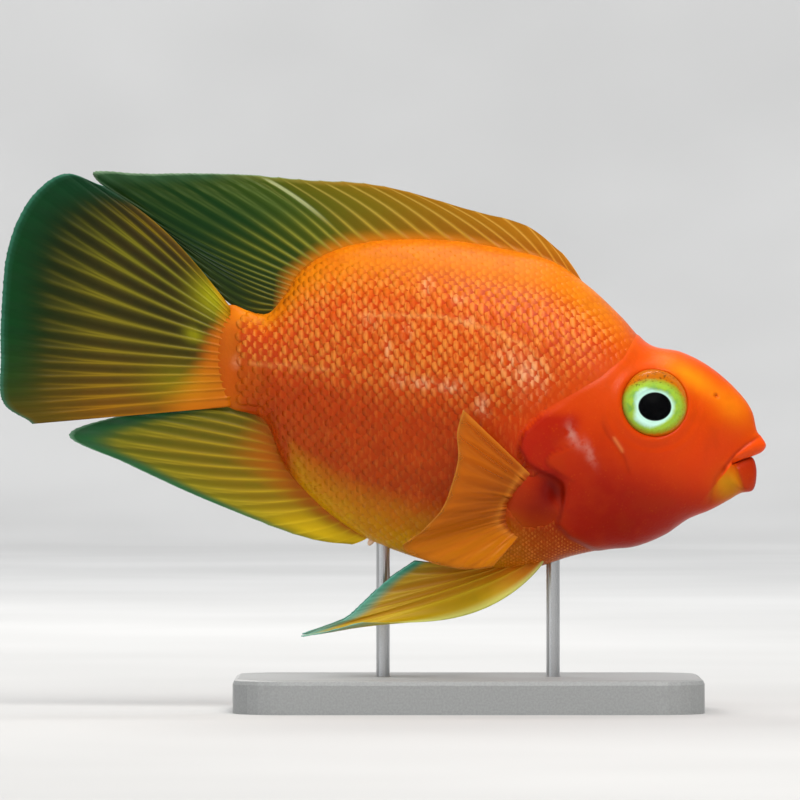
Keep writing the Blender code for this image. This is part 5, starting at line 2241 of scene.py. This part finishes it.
PECTORAL_FINISH = FinFinish(
    "pectoral_web",
    webs=(
        (0.0, (0.48, 0.095, 0.002)), (0.5, (0.56, 0.13, 0.002)), (1.0, (0.74, 0.23, 0.002)),
    ),
    far_webs=(
        (0.0, (0.48, 0.10, 0.002)), (0.5, (0.58, 0.15, 0.002)), (1.0, (0.76, 0.26, 0.002)),
    ),
    rays=(
        (0.0, (0.68, 0.18, 0.006)), (1.0, (0.60, 0.14, 0.004)),
    ),
    far_rays=(
        (0.0, (0.60, 0.17, 0.01)), (1.0, (0.54, 0.14, 0.006)),
    ),
    edges=(
        (0.0, (0.50, 0.16, 0.01)), (1.0, (0.46, 0.13, 0.008)),
    ),
    base=(0.38, 0.045, 0.001), glow=(0.74, 0.24, 0.02), rim=(0.62, 0.24, 0.03), ray_share=0.7,
    web_alpha=0.6, edge_alpha=0.5,
)
PELVIC_FINISH = FinFinish(
    "pelvic_web",
    webs=(
        (0.0, (0.62, 0.42, 0.004)), (0.3, (0.52, 0.24, 0.003)), (1.0, (0.36, 0.12, 0.002)),
    ),
    far_webs=(
        (0.0, (0.46, 0.36, 0.01)), (0.3, (0.42, 0.22, 0.005)), (0.7, (0.30, 0.15, 0.003)),
        (1.0, (0.16, 0.14, 0.01)),
    ),
    rays=(
        (0.0, (0.78, 0.60, 0.02)), (1.0, (0.56, 0.26, 0.01)),
    ),
    far_rays=(
        (0.0, (0.66, 0.52, 0.05)), (1.0, (0.42, 0.28, 0.02)),
    ),
    edges=(
        (0.0, (0.40, 0.46, 0.20)), (0.25, (0.20, 0.42, 0.30)), (0.6, (0.10, 0.32, 0.22)),
        (1.0, (0.02, 0.22, 0.14)),
    ),
    base=(0.50, 0.12, 0.002), glow=(0.60, 0.68, 0.20), rim=(0.16, 0.44, 0.36), ray_share=0.7,
    web_alpha=0.95, edge_alpha=0.75,
)


class Stand:
    """The display stand keeps the shapes of its solids."""

    def dress(self) -> None:
        """Gives base and rods their finishes."""
        paint = PaintFinish("stand_paint", (0.36, 0.37, 0.37), 0.5).make()
        steel = PaintFinish("rod_steel", (0.62, 0.63, 0.64), 0.3, 1.0, 0.2).make()
        for node, material in (("stand_base", paint), ("stand_rod_front", steel), ("stand_rod_rear", steel)):
            for holder in bpy.data.objects[node].material_slots:
                holder.material = material
            LOG.info("%s: dressed", node)


@dataclass(frozen=True)
class Lamp:
    """One soft square light: its place and side in metres, power in watts and target."""

    name: str
    place: Point3
    size: float
    power: float
    colour: Colour
    target: Point3


FISH_CENTRE = (0.004, 0.0, 0.073)
LAMPS = (
    Lamp("key_light", (0.35, -0.8, 1.1), 0.6, 11.0, (1.0, 0.97, 0.92), FISH_CENTRE),
    Lamp("top_light", (0.05, 0.05, 1.3), 0.6, 5.4, (1.0, 0.98, 0.95), FISH_CENTRE),
    Lamp("fill_light", (-0.9, -1.0, 0.45), 0.9, 2.5, (0.95, 0.97, 1.0), FISH_CENTRE),
    Lamp("rim_light", (-0.5, 0.9, 0.8), 0.5, 6.0, (1.0, 0.98, 0.95), FISH_CENTRE),
    Lamp("wall_light", (0.0, 1.2, 2.4), 1.6, 68.0, (1.0, 1.0, 1.0), (0.0, 3.4, 0.8)),
    Lamp("near_wall_light", (0.0, -1.2, 2.4), 1.6, 38.0, (1.0, 1.0, 1.0), (0.0, -3.4, 0.8)),
)


@dataclass
class Studio:
    """Floor, backdrop, lights and camera."""

    wall_radius: float = 3.4
    flat_radius: float = 2.4
    wall_height: float = 2.8
    lens: float = 400.0
    frame_width: float = 0.1882
    sensor: float = 36.0
    arc_steps: int = 60

    def build(self) -> None:
        """Builds the studio."""
        self.sweep()
        for lamp in LAMPS:
            self.light(lamp)
        world = bpy.data.worlds.new("studio_air")
        world.use_nodes = True
        sockets = world.node_tree.nodes["Background"].inputs
        sockets["Color"].default_value = (0.9, 0.93, 1.0, 1.0)
        sockets["Strength"].default_value = 0.35
        bpy.context.scene.world = world
        bpy.context.scene.view_settings.view_transform = "Standard"
        self.camera()

    def sweep(self) -> None:
        """One pale floor that curves up into a round wall."""
        shape = bmesh.new()
        turn = self.wall_radius - self.flat_radius
        angles = np.linspace(0.0, math.pi / 2, self.arc_steps + 1)[1:]
        bend = [(self.flat_radius + turn * math.sin(a), 0.0, turn * (1 - math.cos(a))) for a in angles]
        rim = (self.wall_radius, 0.0, self.wall_height)
        line = [(0.0, 0.0, 0.0), (self.flat_radius, 0.0, 0.0), *bend, rim]
        profile = [shape.verts.new(point) for point in line]
        edges = [shape.edges.new(pair) for pair in zip(profile[:-1], profile[1:])]
        bmesh.ops.spin(
            shape, geom=profile + edges, cent=(0, 0, 0), axis=(0, 0, 1), angle=2 * math.pi, steps=180,
            use_merge=True,
        )
        bmesh.ops.remove_doubles(shape, verts=shape.verts, dist=1e-5)
        bmesh.ops.recalc_face_normals(shape, faces=shape.faces)
        mesh = bpy.data.meshes.new("studio_sweep")
        shape.to_mesh(mesh)
        shape.free()
        sweep = bpy.data.objects.new("studio_sweep", mesh)
        bpy.context.scene.collection.objects.link(sweep)
        mesh.materials.append(PaintFinish("studio_card", (0.58, 0.58, 0.575), 0.8, 0.0, 400.0).make())
        mesh.shade_smooth()

    def light(self, lamp: Lamp) -> None:
        """Adds one light.

        Args:
            lamp: what it is and where it stands.
        """
        data = bpy.data.lights.new(lamp.name, "AREA")
        data.size, data.energy, data.color = lamp.size, lamp.power, lamp.colour
        obj = bpy.data.objects.new(lamp.name, data)
        heading = Vector(lamp.target) - Vector(lamp.place)
        obj.location = lamp.place
        obj.rotation_euler = heading.to_track_quat("-Z", "Y").to_euler()
        bpy.context.scene.collection.objects.link(obj)

    def camera(self) -> None:
        """Sets the camera square on to the fish's right side, as in the photo."""
        data = bpy.data.cameras.new("camera")
        data.lens = self.lens
        data.sensor_width = self.sensor
        data.clip_start, data.clip_end = 0.01, 20.0
        obj = bpy.data.objects.new("camera", data)
        distance = self.frame_width * self.lens / self.sensor
        obj.location = (FISH_CENTRE[0], -distance, FISH_CENTRE[2])
        obj.rotation_euler = (math.pi / 2, 0.0, 0.0)
        bpy.context.scene.collection.objects.link(obj)
        bpy.context.scene.camera = obj


def main() -> None:
    """Builds every piece in order."""
    logging.basicConfig(level=logging.INFO, format="%(message)s")
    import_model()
    Fish().build()
    Stand().dress()
    Studio().build()


if __name__ == "__main__":
    main()
